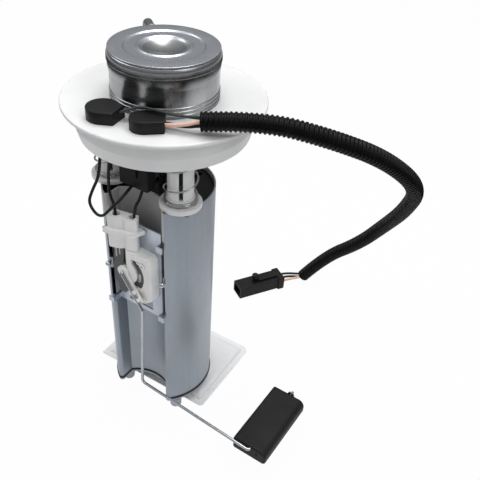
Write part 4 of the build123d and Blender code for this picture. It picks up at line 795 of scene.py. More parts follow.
def drawn_in(rows: np.ndarray) -> np.ndarray:
    """Close a grid's two ends: its first and last rows are drawn in to their middles."""
    ends = [np.broadcast_to(row.mean(axis=0), rows[:1].shape) for row in (rows[0], rows[-1])]
    return np.concatenate([ends[0], rows, ends[1]])


def arc_length(path: np.ndarray) -> np.ndarray:
    """Measure a path from its start to each of its points."""
    return np.concatenate([[0], np.cumsum(np.linalg.norm(np.diff(path, axis=0), axis=1))])


def even_path(path: np.ndarray, step: float) -> np.ndarray:
    """Resample a path at even distances of about step, by its arc length."""
    reach = arc_length(path)
    at = np.linspace(0, reach[-1], max(int(round(reach[-1] / step)), 8) + 1)
    return np.stack([np.interp(at, reach, path[:, axis]) for axis in range(3)], -1)


def carried_rings(
    name: str, path: np.ndarray, index: np.ndarray, radii: np.ndarray, sides: int
) -> bpy.types.Object:
    """Carry a circle along a path: p(s) + r(s)(side cos a + up sin a).

    Side is the least travelled direction crossed with the tangent, and up is the tangent crossed with side.

    Args:
        name: The object's name.
        path: Array of points by 3, in metres.
        index: The path's points in the order in which rings stand on them.
        radii: One radius for each ring.
        sides: Faces round the circle.

    Returns:
        The object, with a map of length and turn.
    """
    tangent = np.gradient(path, axis=0)
    tangent /= np.linalg.norm(tangent, axis=1)[:, None]
    side = np.cross(tangent, np.linalg.svd(tangent, full_matrices=False)[2][-1])
    side /= np.linalg.norm(side, axis=1)[:, None]
    up = np.cross(tangent, side)
    angle = np.linspace(0, TURN, sides + 1)
    ring = side[index, None, :] * np.cos(angle)[:, None] + up[index, None, :] * np.sin(angle)[:, None]
    uv = np.stack(np.broadcast_arrays(arc_length(path)[index, None], (angle / TURN)[None, :]), -1)
    return grid_object(name, path[index, None, :] + ring * radii[:, None, None], uv=uv)


def carried_tube(
    name: str, path: np.ndarray, radius: Union[float, np.ndarray], sides: int,
    tip: float = 1e-7, rim: float = 0.9,
) -> bpy.types.Object:
    """Carry a circle along a path and close both ends.

    Args:
        name: The object's name.
        path: Array of points by 3, in metres.
        radius: One radius, or one for each point.
        sides: Faces round the circle.
        tip: The radius at the middle of each end, small enough to merge.
        rim: The share of the radius at which each end turns flat.

    Returns:
        The object, with a map of length and turn.
    """
    radii = np.broadcast_to(radius, len(path)).astype(float)
    radii = np.concatenate([[tip, radii[0] * rim], radii, [radii[-1] * rim, tip]])
    last = len(path) - 1
    return carried_rings(name, path, np.clip(np.arange(-2, last + 3), 0, last), radii, sides)


def route_line(route: Route, fine: int = 24) -> np.ndarray:
    """Trace the smooth line that a route's points control.

    Args:
        route: Control points in millimetres.
        fine: Points on each stretch.

    Returns:
        Array of points by 3, in metres.
    """
    curve = bpy.data.curves.new("route", "CURVE")
    curve.dimensions = "3D"
    spline = curve.splines.new("NURBS")
    spline.points.add(len(route) - 1)
    spline.points.foreach_set("co", np.column_stack([np.array(route) * MM, np.ones(len(route))]).ravel())
    spline.order_u = 3
    spline.use_endpoint_u = True
    spline.resolution_u = fine
    holder = new_object("route", curve)
    bpy.context.view_layer.update()
    mesh = bpy.data.meshes.new_from_object(holder.evaluated_get(bpy.context.evaluated_depsgraph_get()))
    line = mesh_values(mesh.vertices, "co")
    bpy.data.objects.remove(holder)
    bpy.data.curves.remove(curve)
    bpy.data.meshes.remove(mesh)
    return line


def mesh_values(rows: bpy.types.bpy_prop_collection, key: str) -> np.ndarray:
    """Read a triple of numbers from each of a mesh's elements."""
    values = np.empty(len(rows) * 3, np.float32)
    rows.foreach_get(key, values)
    return values.reshape(-1, 3).astype(float)


def write_points(piece: bpy.types.Object, points: np.ndarray) -> None:
    """Write a mesh's points, in metres."""
    piece.data.vertices.foreach_set("co", points.astype(np.float32).ravel())
    piece.data.update()


def merged_copy(node: str, name: str) -> bpy.types.Object:
    """Copy a node's mesh in the frame's own coordinates, under a new name, and merge its doubled points."""
    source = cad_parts[node]
    mesh = source.data.copy()
    mesh.transform(source.matrix_world)
    piece = new_object(name, mesh)
    weld(piece)
    return piece


def flat(piece: bpy.types.Object) -> None:
    """Keep a piece's sharp edges sharp."""
    piece.data.set_sharp_from_angle(angle=SHARP)


def revolved(name: str, profile: np.ndarray, turns: int) -> bpy.types.Object:
    """Turn a profile (r, z) in millimetres about the frame's Z axis: (r cos a, r sin a, z)."""
    angle = np.linspace(0, TURN, turns, endpoint=False)
    r, z = profile[:, :1], profile[:, 1:]
    points = np.stack([r * np.cos(angle), r * np.sin(angle), z + 0 * angle], -1)
    return grid_object(name, points * MM, close_v=True)


# Studio


@dataclass
class Studio:
    """The floor, the lamps, the surroundings and the camera."""

    camera_place: Point = (0.2654, -0.3263, 0.2021)
    right: Point = (0.8335, 0.5499, 0.0541)
    up: Point = (-0.3743, 0.4899, 0.7874)
    back: Point = (0.4065, -0.6765, 0.6141)
    focal_pixels: float = 640.4
    image_pixels: float = 480.0
    sensor: float = 36.0
    clip: Pair = (0.01, 20.0)
    floor_z: float = -0.2742
    floor_reach: float = 6.0
    floor_colour: Point = (0.7, 0.7, 0.7)
    floor_seen: float = 0.97
    floor_mirrored: float = 0.5
    card_radii: Pair = (0.4, 1.1)
    card_rise: float = 0.004
    card_sides: int = 96
    card_colour: Point = (0.02, 0.02, 0.02)
    aim: Point = (0.03, 0.0, -0.1)
    lamps: Tuple[Tuple[str, Point, float, float], ...] = (
        ("lamp_left", (-0.9, -0.3, 0.75), 0.7, 3.4),
        ("lamp_right", (1.0, -0.05, 0.95), 0.6, 3.2),
        ("lamp_top", (0.0, 0.25, 1.15), 0.8, 8.6),
    )
    sky: Tuple[Tuple[float, Point], ...] = (
        (0.0, (0.22, 0.221, 0.222)),
        (0.2, (0.31, 0.315, 0.322)),
        (0.5, (0.51, 0.517, 0.527)),
        (0.8, (0.95, 0.953, 0.957)),
    )
    sky_strength: float = 0.8

    def build(self) -> None:
        """Make all of it."""
        self.camera()
        self.floor()
        self.dark_card()
        for lamp in self.lamps:
            self.soft_box(*lamp)
        self.surroundings()
        LOG.info("studio: floor, lamps and camera")

    def camera(self) -> None:
        """Place the camera where the photograph was taken from."""
        data = bpy.data.cameras.new("camera")
        data.sensor_width = self.sensor
        data.lens = self.sensor * self.focal_pixels / self.image_pixels
        data.clip_start, data.clip_end = self.clip
        camera = new_object("camera", data)
        turn = Matrix((self.right, self.up, self.back)).transposed().to_4x4()
        camera.matrix_world = Matrix.Translation(self.camera_place) @ turn
        bpy.context.scene.camera = camera

    def floor(self) -> None:
        """Lay a wide pale floor that reads white to the camera and keeps a soft shadow."""
        corners = np.array([[-1, -1], [1, -1], [1, 1], [-1, 1]]) * self.floor_reach
        vertices = np.column_stack([corners, np.full(4, self.floor_z)])
        floor = face_object("floor", vertices, np.array([[0, 1, 2, 3]]))
        tree = Surface("floor_white")
        tree.set(base_color=self.floor_colour, roughness=0.9)
        rays = ("Camera", "Glossy", "Transmission")
        seen, mirrored, passed = (tree.add("ShaderNodeLightPath", out=f"Is {ray} Ray") for ray in rays)
        inputs = {
            0: seen * self.floor_seen + (mirrored + passed) * self.floor_mirrored,
            1: Value(tree, tree.shader.outputs[0]),
            2: tree.add("ShaderNodeEmission", {"Color": (1, 1, 1)}),
        }
        tree.feed(tree.output.inputs["Surface"], tree.add("ShaderNodeMixShader", inputs))
        floor.data.materials.append(tree.material)

    def dark_card(self) -> None:
        """Lay a wide black ring on the floor, seen only in reflections, to darken the shiny can's side."""
        radius = np.array(self.card_radii)[:, None]
        angle = np.linspace(0, TURN, self.card_sides, endpoint=False)
        height = np.full((2, self.card_sides), self.floor_z + self.card_rise)
        points = np.stack([radius * np.cos(angle), radius * np.sin(angle), height], -1)
        card = grid_object("dark_ring", points, close_v=True)
        tree = Surface("card_black")
        tree.set(base_color=self.card_colour, roughness=0.9)
        card.data.materials.append(tree.material)
        card.visible_camera = card.visible_diffuse = card.visible_shadow = card.visible_transmission = False

    def soft_box(self, name: str, place: Point, size: float, power: float) -> None:
        """Hang one square lamp that looks at the object.

        Args:
            name: Its name.
            place: Its place in metres.
            size: Its side in metres.
            power: Its power in watts.
        """
        data = bpy.data.lights.new(name, "AREA")
        data.shape = "SQUARE"
        data.size = size
        data.energy = power
        lamp = new_object(name, data)
        lamp.location = place
        lamp.rotation_mode = "QUATERNION"
        lamp.rotation_quaternion = (Vector(place) - Vector(self.aim)).to_track_quat("Z", "Y")

    def surroundings(self) -> None:
        """Surround the object with a room that is light above, darker low down and white to the camera."""
        world = bpy.data.worlds.new("room")
        bpy.context.scene.world = world
        tree = Tree(world)
        height = tree.axes(tree.add("ShaderNodeTexCoord", out="Generated"))[2]
        ramp = tree.add("ShaderNodeValToRGB", {0: height})
        stops = ramp.socket.node.color_ramp.elements
        while len(stops) < len(self.sky):
            stops.new(0.5)
        for stop, (place, colour) in zip(stops, self.sky):
            stop.position, stop.color = place, (*colour, 1)
        inputs = {
            0: tree.add("ShaderNodeLightPath", out="Is Camera Ray"),
            1: tree.add("ShaderNodeBackground", {"Color": ramp, "Strength": self.sky_strength}),
            2: tree.add("ShaderNodeBackground", {"Color": (1, 1, 1), "Strength": 1.0}),
        }
        output = tree.nodes.new("ShaderNodeOutputWorld")
        tree.feed(output.inputs[0], tree.add("ShaderNodeMixShader", inputs))


# Wiring


class Insulation(Enum):
    """A wire's cover: its finish and its slot's name."""

    BLACK = (WIRE_BLACK, "wire_black_pvc")
    PINK = (WIRE_PINK, "wire_pink_pvc")
    GREY = (WIRE_GREY, "wire_grey_pvc")


@dataclass
class Wire:
    """One thin wire along a given route; where it has two heights, it rides on no body."""

    name: str
    node: str
    route: Route
    radius: float
    cover: Insulation = Insulation.BLACK
    bends: Optional[Pair] = None
    lay: str = "loose"
    sides: int = 14

    def build(self) -> None:
        path = even_path(route_line(self.route), self.radius * MM)
        piece = carried_tube(self.name, path, self.radius * MM, self.sides)
        PAINT.piece(piece, *self.cover.value, self.node, "" if self.bends else "flange_assembly")
        if self.bends:
            start, end = ((path[0][0], path[0][1], height * MM) for height in self.bends)
            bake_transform(piece)
        2 * self.radius * MM


def turned_point(origin: Point, x: Point, z: Point, local: Point) -> Point:
    """Turn a plane's own coordinates into the frame's: origin + a x + b (z cross x) + c z."""
    across = Vector(z).cross(Vector(x))
    place = Vector(origin) + Vector(x) * local[0] + across * local[1] + Vector(z) * local[2]
    return (place.x, place.y, place.z)


@dataclass
class Wiring:
    """Every thin wire: at the loom's two ends, under the flange and down to the pump."""

    wire_radius: float = 1.25
    signal_radius: float = 0.8
    inner_radius: float = 1.1
    loom_tail: Point = (48.0, 178.0, -265.0)
    tail_x: Point = (0.0, 1.0, 0.0)
    tail_z: Point = (0.5, 0.0, 0.866)
    plug: Point = (13.0, 134.5, -274.0)
    plug_x: Point = (0.5225, 0.8526, 0.0)
    plug_z: Point = (0.0, 0.0, 1.0)
    plug_up: float = 7.75
    loom_depths: Pair = (11.0, -1.0)
    plug_reaches: Pair = (39.0, 30.0)
    tail_places: Tuple[Point, ...] = ((5.4, 2.8, 0.0), (0.0, 0.0, -2.4), (-5.4, -2.8, 0.0))

    def build(self) -> None:
        """Make every wire."""
        for wire in (*self.deck_wires(), *self.hanging_wires(), *self.tail_wires()):
            wire.build()

    def deck_wires(self) -> List[Wire]:
        """List the wires that run over the flange from the caps into the loom."""
        pink = ((31.9, -42.5, 7.4), (44.6, -38.2, 9.2), (53.95, -31.98, 13.1), (65.5, -26.05, 13.6))
        black = ((29.2, -38.5, 6.2), (43.6, -35.0, 6.4), (53.26, -30.31, 9.1), (65.7, -23.93, 10.4))
        grey_a = (
            (0.5, -50.0, 8.4), (7.2, -46.0, 11.6), (14.0, -41.0, 13.9), (28.0, -39.6, 14.3),
            (40.0, -36.0, 13.4), (52.19, -28.62, 13.9), (61.96, -23.59, 14.32),
        )
        grey_b = (
            (0.0, -47.1, 8.4), (5.6, -44.6, 10.8), (12.6, -40.3, 12.7), (26.4, -37.6, 13.6),
            (38.6, -33.6, 12.4), (51.62, -27.34, 11.7), (61.4, -22.31, 12.12),
        )
        return [
            Wire("deck_wire_pink", "wire_pink", pink, self.wire_radius, Insulation.PINK),
            Wire("deck_wire_black", "wire_black", black, self.wire_radius),
            Wire("deck_wire_grey_a", "wires_grey", grey_a, self.signal_radius, Insulation.GREY),
            Wire("deck_wire_grey_b", "wires_grey", grey_b, self.signal_radius, Insulation.GREY),
        ]

    def hanging_wires(self) -> List[Wire]:
        """List the wires that hang under the flange."""
        loop = (
            (-12.83, -53.58, -8.0), (-13.6, -54.6, -26.0), (-16.0, -55.6, -44.0), (-20.7, -58.8, -55.8),
            (-22.1, -62.5, -65.3), (-8.4, -65.4, -71.4), (1.2, -62.3, -59.0), (5.3, -54.9, -52.2),
            (4.0, -43.5, -49.0),
        )
        signal = (
            (-6.17, -51.42, -8.0), (-7.6, -52.0, -26.0), (-10.2, -52.4, -44.0), (-10.0, -52.6, -57.0),
            (-5.1, -53.0, -67.0), (-4.64, -53.2, -80.0),
        )
        ground = ((13.0, -43.0, -49.0), (12.6, -45.6, -56.0), (9.3, -49.2, -64.0), (8.34, -49.0, -80.0))
        wires = (
            ("loop_wire_cover", "loop_wire", loop, None),
            ("signal_wire_cover", "sender_signal_wire", signal, (-8.0, -70.0)),
            ("ground_wire_cover", "sender_ground_wire", ground, (-49.0, -72.0)),
            ("pump_lead_a", "pump_leads", self.lead(-3.6), (-49.0, -150.0)),
            ("pump_lead_b", "pump_leads", self.lead(0.0), (-49.0, -150.0)),
        )
        return [
            Wire(name, node, route, self.inner_radius, bends=bends, lay="hanging")
            for name, node, route, bends in wires
        ]

    def lead(self, x: float) -> Route:
        """Route a pump lead from the harness connector to the pump's top."""
        return (
            (x, -40.0, -49.0), (x - 0.6, -33.0, -53.6), (x - 1.0, -26.0, -60.0), (x - 1.0, -21.4, -80.0),
            (x, -18.6, -105.0), (x + 0.4, -17.0, -130.0), (x + 0.4, -14.9, -153.35),
        )

    def tail_wires(self) -> List[Wire]:
        """List the wires from the loom's end into the plug's back."""
        names = (
            ("tail_wire_black_a", "tail_wires_black", Insulation.BLACK),
            ("tail_wire_black_b", "tail_wires_black", Insulation.BLACK),
            ("tail_wire_pink_cover", "tail_wire_pink", Insulation.PINK),
        )
        wires = []
        for (name, node, cover), (socket, side, up) in zip(names, self.tail_places):
            route = [
                turned_point(self.loom_tail, self.tail_x, self.tail_z, (side, up, depth))
                for depth in self.loom_depths
            ] + [
                turned_point(self.plug, self.plug_x, self.plug_z, (reach, socket, self.plug_up))
                for reach in self.plug_reaches
            ]
            wires.append(Wire(name, node, route, self.wire_radius, cover))
        return wires


@dataclass
class Loom:
    """The corrugated conduit from the flange to the plug."""

    route: Route = (
        (53.0, -30.0, 11.5),
        (87.0, -12.0, 16.2),
        (123.7, 14.0, 5.0),
        (153.3, 46.0, -14.8),
        (170.4, 84.0, -50.6),
        (153.6, 121.0, -98.8),
        (133.4, 150.0, -138.9),
        (105.9, 169.0, -186.2),
        (70.4, 178.0, -226.2),
        (48.0, 178.0, -265.0),
    )
    radius: float = 6.6
    groove: float = 0.85
    pitch: float = 3.15
    wall: float = 0.9
    rib_steps: int = 8
    end_steps: int = 6
    steep: float = 0.85
    sides: int = 24

    def build(self) -> None:
        """Carry a circle along the route: its radius rises at each rib, and both ends turn inside."""
        line = even_path(route_line(self.route), self.pitch * MM / self.rib_steps)
        reach = arc_length(line) / MM
        wave = np.clip(0.5 + self.steep * np.cos(TURN * reach / self.pitch), 0, 1)
        outer = (self.radius - self.groove + self.groove * wave) * MM
        inner = np.full(self.end_steps, (self.radius - self.groove - self.wall) * MM)
        depth = np.arange(self.end_steps) * self.rib_steps
        index = np.concatenate([depth[::-1], np.arange(len(line)), len(line) - 1 - depth])
        piece = carried_rings("loom_conduit", line, index, np.concatenate([inner, outer, inner]), self.sides)
        PAINT.piece(piece, CONDUIT, "conduit_grey", "loom", "flange_assembly")
        2 * self.radius * MM


@dataclass
class FilterCan:
    """The polished filter can on the flange: a drawn cup with three foot beads and a crimped, dished lid."""

    radius: float = 38.1
    wall: float = 0.8
    foot_z: float = 2.2
    bead_radius: float = 1.1
    bead_count: int = 3
    bead_rows: Pair = (0.8, 11.0)
    first_bead: float = 2.6
    flare_z: float = 22.5
    seam_z: float = 31.2
    seam_radius: float = 39.4
    top_z: float = 39.1
    plate_radius: float = 38.3
    step_radius: float = 27.2
    step_depth: float = 0.9
    bowl_radius: float = 17.8
    bowl_depth: float = 4.6
    crimp: Tuple[Pair, ...] = ((39.2, 35.4), (38.2, 37.3), (37.3, 37.75), (37.35, 38.2))
    lining: Tuple[Pair, ...] = ((34.2, 36.6), (37.4, 34.4), (38.3, 32.2))
    lid_bends: Tuple[float, ...] = (0.5, 0.9, 1.2, 1.2, 0.35, 0.2, 0.3, 0.35, 0.8, 0.5, 0.8, 0.7, 0.5)

    def build(self) -> None:
        """Make and dress the cup and the lid."""
        for name, profile, node in (
            ("can_cup", self.cup_profile(), "filter_can_body"),
            ("can_lid", self.lid_profile(), "filter_can_lid"),
        ):
            piece = revolved(name, profile, turns=192)
            PAINT.piece(piece, CAN, "can_steel", node, "flange_assembly")
        LOG.info("filter can: cup and lid")

    def cup_profile(self) -> np.ndarray:
        """Trace the cup: its side is the larger of wall and beads' circles, then flares to the seam."""
        z = self.foot_z + np.linspace(*self.bead_rows, 80)
        beads = self.foot_z + self.first_bead + 2.4 * self.bead_radius * np.arange(self.bead_count)
        drop = self.bead_radius**2 - (z[:, None] - beads[None, :]) ** 2
        crest = self.radius - 0.45 * self.bead_radius + np.sqrt(np.clip(drop, 0, None))
        side = np.column_stack([np.maximum(self.radius, crest.max(axis=1)), z])
        rise = np.linspace(0, 1, 14)
        flare = np.column_stack([
            self.radius + (self.seam_radius - 0.45 - self.radius) * np.sin(0.5 * math.pi * rise),
            self.flare_z + (self.seam_z - self.flare_z) * rise,
        ])
        foot = soft_profile([(0, self.foot_z), (self.radius - 0.4, self.foot_z), tuple(side[0])], 0.8)
        inner = flare[::-1] - (self.wall, 0)
        floor = [(self.radius - self.wall, self.foot_z + self.wall), (0, self.foot_z + self.wall)]
        return np.concatenate([foot, side[1:], flare, inner, np.array(floor)])

    def lid_profile(self) -> np.ndarray:
        """Trace the lid from its crimp over barrel, plate, step and bowl to its middle, and back inside."""
        ring_z = self.top_z - self.step_depth
        edge = self.bowl_radius - 1.2
        outer = soft_profile(
            [
                (self.seam_radius - 1.0, self.seam_z - 0.05),
                (self.seam_radius - 0.02, self.seam_z - 0.1),
                (self.seam_radius, self.seam_z + 1.4),
                *self.crimp,
                (self.plate_radius, self.crimp[-1][1] - 0.05),
                (self.plate_radius + 0.02, self.top_z),
                (self.step_radius + 0.9, self.top_z),
                (self.step_radius, ring_z),
                (self.bowl_radius + 1.9, ring_z),
                (self.bowl_radius + 0.3, self.top_z + 0.05),
                (edge, ring_z + 0.15),
                (edge - 0.6, ring_z - 0.45),
            ],
            self.lid_bends,
            steps=7,
        )
        ball = (edge**2 + self.bowl_depth**2) / (2 * self.bowl_depth)
        turn = np.linspace(math.asin((edge - 1.3) / ball), 0, 22)
        bowl = np.column_stack([ball * np.sin(turn), ring_z - self.bowl_depth + ball * (1 - np.cos(turn))])
        inner = np.array([
            (0, ring_z - self.bowl_depth - self.wall),
            (0.6 * edge, ring_z - 0.85 * self.bowl_depth - self.wall),
            (edge, ring_z - 2 * self.wall),
            (self.lining[0][0] - 0.4, ring_z - self.wall),
            *self.lining,
        ])
        return np.concatenate([outer, bowl, inner, outer[:1]])


@dataclass
class ReturnSprings:
    """The two tapered wire springs round the struts."""

    centres: Tuple[Pair, ...] = ((-29.2, -28.5), (35.3, -28.5))
    wire_radius: float = 0.7
    foot_radius: float = 11.7
    head_radius: float = 13.3
    low_z: float = -55.9
    coil_z: float = -53.3
    high_z: float = -1.7
    closed_turns: float = 2.0
    open_turns: float = 3.5
    end_turn: float = 0.85

    def build(self) -> None:
        """Carry a circle along each spring's line."""
        for name, centre in zip(("return_spring_left", "return_spring_right"), self.centres):
            piece = carried_tube(name, self.line(centre) * MM, self.wire_radius * MM, 12)
            PAINT.piece(piece, SPRING, "spring_steel", "return_springs")
            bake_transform(piece)
        LOG.info("return springs: 2")

    def line(self, centre: Pair) -> np.ndarray:
        """Trace the spring: two closed turns, open turns that rise and widen evenly, and a flat end turn.

        Args:
            centre: The strut's place.

        Returns:
            Array of points by 3, in millimetres.
        """
        turn = np.linspace(-self.closed_turns, self.open_turns + self.end_turn, 620)
        rise = np.clip(turn / self.open_turns, 0, 1)
        ease = rise * rise * (3 - 2 * rise) * 0.25 + rise * 0.75
        closed = np.clip(turn, -self.closed_turns, 0) * (self.coil_z - self.low_z) / self.closed_turns
        z = self.coil_z + closed + (self.high_z - self.coil_z) * ease
        r = self.foot_radius + (self.head_radius - self.foot_radius) * rise
        angle = TURN * turn
        return np.stack([centre[0] + r * np.cos(angle), centre[1] + r * np.sin(angle), z], -1)


@dataclass
class FuelHose:
    """The ribbed hose from the pump up to the filter can."""

    centre: Pair = (5.0, -6.5)
    low_z: float = -152.5
    high_z: float = -2.0
    radius: float = 6.0
    cuff: float = 13.0
    ribs: int = 30
    groove: float = 0.75

    def build(self) -> None:
        """Carry a circle up a straight line: its radius dips between the ribs, and both cuffs are smooth."""
        z = np.linspace(self.low_z, self.high_z, 520)
        run = np.clip((z - self.low_z - self.cuff) / (self.high_z - self.low_z - 2 * self.cuff), 0, 1)
        wave = 0.5 - 0.5 * np.cos(TURN * self.ribs * run)
        path = np.column_stack([np.full_like(z, self.centre[0]), np.full_like(z, self.centre[1]), z]) * MM
        piece = carried_tube("ribbed_fuel_hose", path, (self.radius - self.groove * wave) * MM, 40)
        PAINT.piece(piece, RUBBER, "rubber_black", "fuel_hose")
        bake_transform(piece)
        2 * self.radius * MM


@dataclass
class Strainer:
    """The cloth bag under the base: two layers welded along a flat border and held apart inside."""

    length: float = 116.0
    width: float = 84.0
    centre: Pair = (-1.8, 12.0)
    turn: float = 2.0
    corners: Tuple[float, ...] = (7.0, 22.0, 1.0, 3.0)
    least_corner: float = 0.6
    floor_z: float = -274.0
    swell: float = 2.23
    border: float = 5.0
    swell_width: float = 5.0
    seam_z: float = 0.55
    seam_half: float = 0.35
    seam_edge: float = 0.6
    sag: float = 0.1
    rib_height: float = 0.11
    rib_pitch: float = 7.0
    insets: Tuple[float, ...] = (
        0.0, 0.15, 0.6, 1.2, 2.15, 3.1, 4.05, 5.0, 5.5, 6.0, 6.7, 7.6, 9.0, 11.0, 14.0,
    )
    middle_rows: int = 16
    fill: float = 0.35

    def build(self) -> None:
        """Rule two layers from the edge to the middle, the upper one swelling inside the border.

        With s from 0 at the border to 1: upper = seam + s (swell + ripple + ribs), lower = seam - s sag.
        """
        rings = np.stack([self.outline(inset) for inset in self.insets])
        shrink = np.linspace(0.9, 0.0, self.middle_rows)[:, None, None]
        plan = np.concatenate([rings, rings[-1] * shrink])
        inset = np.concatenate([self.insets, self.insets[-1] + (1 - shrink[:, 0, 0]) * 30.0])
        swell = np.clip((inset - self.border) / self.swell_width, 0, 1)
        rise = (swell * (2 - swell))[:, None]
        seam = self.seam_half * np.sqrt(np.clip(inset / self.seam_edge, 0, 1))[:, None]
        x, y = plan[..., 0], plan[..., 1]
        ripple = 0.10 * np.sin(x * 0.55 + 0.8) * np.sin(y * 0.47 + 1.9) + 0.06 * np.sin(x * 1.3 - y * 0.9)
        ribs = self.rib_height * np.cos(TURN * y / self.rib_pitch)
        upper = self.seam_z + seam + rise * (self.swell + ripple + ribs)
        lower = self.seam_z - seam - rise * self.sag + 0 * x
        x, y = turned(x, y, self.turn, self.centre)
        bottom, top = (np.stack([x, y, self.floor_z + height], -1) for height in (lower, upper))
        points = np.concatenate([bottom[::-1], top[1:]])
        along = np.concatenate([inset[::-1], inset[1:]])[:, None] * MM
        uv = np.stack(np.broadcast_arrays(along, np.linspace(0, 1, points.shape[1])[None, :]), -1)
        piece = grid_object("strainer_bag", points * MM, close_v=True, uv=uv)
        PAINT.piece(piece, MESH, "strainer_cloth", "strainer", "reservoir")
        LOG.info("strainer: %.0f by %.0f mm", self.length, self.width)

    def outline(self, inset: float) -> np.ndarray:
        """Trace the bag's outline in millimetres about its own middle, drawn in by inset."""
        bends = [max(radius - inset, self.least_corner) for radius in self.corners]
        return soft_rectangle((self.length / 2 - inset, self.width / 2 - inset), bends, 14, 20)


@dataclass
class TerminalCap:
    """A D-shaped moulded cover on the flange: a round back and straight sides to a blunt end."""

    name: str
    node: str
    centre: Pair
    angle: float
    radius: float
    length: float
    width: float
    base_z: float = 3.0
    height: float = 8.5
    edge: float = 0.9
    soft: float = 0.7

    def build(self) -> None:
        """Carry the outline up its side, over a rounded edge and in to the middle of the top."""
        arc = np.linspace(0, 0.5 * math.pi, 7)
        inset = [0.35, 0, 0, *(self.edge * (1 - np.cos(arc))), self.edge + 0.5, self.edge + 1.5]
        rounded = self.height - self.edge + self.edge * np.sin(arc)
        height = np.concatenate([[0, 0, 0, 0.4], rounded, [self.height] * 4])
        rows = np.stack([self.outline(d) for d in inset])
        rows = np.concatenate([rows[:1] * 0, rows, rows[-1:] * 0.5, rows[-1:] * 0])
        x, y = turned(rows[..., 0], rows[..., 1], self.angle, self.centre)
        points = np.stack([x, y, self.base_z + height[:, None] + 0 * x], -1)
        piece = grid_object(self.name, points * MM, close_v=True)
        PAINT.piece(piece, BLACK, "black_plastic", self.node, "flange_assembly")
        LOG.info("%s", self.name)

    def outline(self, inset: float) -> np.ndarray:
        """Trace the hull of the round back and the blunt end, both drawn in by inset.

        Args:
            inset: How far inside the edge, in millimetres.

        Returns:
            Array of points by 2, about the round back's middle.
        """
        r, end, half, soft = self.radius - inset, self.length - inset, self.width / 2 - inset, self.soft
        touch = math.atan2(half, end) + math.acos(r / math.hypot(end, half))
        back = np.linspace(touch, TURN - touch, 72)
        low = np.array([
            (end - soft * 1.2, -half - soft * 0.05), (end - soft * 0.25, -half + soft * 0.25),
            (end, -half + soft * 1.1),
        ])
        high = low[::-1] * (1, -1)
        front = np.linspace(low[-1], high[0], 12)[1:-1]
        start = np.array([r * math.cos(touch), -r * math.sin(touch)])
        lower = np.linspace(start, low[0], 12)[1:-1]
        upper = (lower * (1, -1))[::-1]
        arc = np.column_stack([r * np.cos(back), r * np.sin(back)])
        return np.concatenate([arc, lower, low, front, high, upper])


@dataclass
class Float:
    """The black foam float: a soft block with one deeply rounded long edge."""

    corners: Tuple[float, ...] = (6.2, 2.2, 2.2, 3.2)
    least_corner: float = 0.004
    end_edge: float = 1.6
    crease: float = 0.16

    def build(self) -> None:
        """Carry the section along the float, drawn in at both ends, with a faint crease along its top."""
        low, high = (np.array(corner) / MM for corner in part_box("float"))
        half, middle = (high - low) / 2, (low + high) / 2
        arc = np.linspace(0, 0.5 * math.pi, 7)
        step = np.concatenate([[0.0, 0.0], self.end_edge * (1 - np.cos(arc))[:-1]])
        shrink = np.array([half[2] - 0.01, self.end_edge + 1.0, *(self.end_edge * (1 - np.sin(arc))[:-1])])
        run = np.linspace(self.end_edge, 2 * half[1] - self.end_edge, 34)
        along = np.concatenate([step, run, 2 * half[1] - step[::-1]])
        inset = np.concatenate([shrink, 0 * run, shrink[::-1]])
        rows = np.stack([self.section(half, d) for d in inset])
        x, z = rows[..., 0], rows[..., 1]
        fold = self.crease * np.exp(-((x - half[0] + self.corners[0] + 1.6) / 0.7) ** 2) * (z > 0)
        points = np.stack([middle[0] + x, low[1] + along[:, None] + 0 * x, middle[2] + z - fold], -1)
        piece = grid_object("foam_float", drawn_in(points) * MM, close_v=True)
        PAINT.piece(piece, FLOAT_BLACK, "black_plastic", "float", "float_body")
        LOG.info("float")

    def section(self, half: np.ndarray, inset: float) -> np.ndarray:
        """Trace the float's section, drawn in by inset, with its upper outer corner much rounder."""
        wide, tall = half[0] - inset, half[2] - inset
        bends = [max(min(radius - inset, tall * 0.98), self.least_corner) for radius in self.corners]
        return soft_rectangle((wide, tall), bends, 10, 14)


@dataclass
class BaseSeal:
    """The black gasket between the reservoir and its base, squeezed a little proud of both."""

    proud: float = 0.9
    upright: float = 0.6
    least: float = 0.3

    def build(self) -> None:
        """Copy the seal's solid, merge it and push each point out along its level normal."""
        piece = merged_copy("base_seal", "gasket")
        level = mesh_values(piece.data.vertex_normals, "vector") * (1, 1, self.upright)
        level[:, :2] /= np.maximum(np.linalg.norm(level[:, :2], axis=1, keepdims=True), self.least)
        write_points(piece, mesh_values(piece.data.vertices, "co") + level * self.proud * MM)
        PAINT.piece(piece, RUBBER, "rubber_black", "base_seal", "reservoir")
        LOG.info("base gasket")


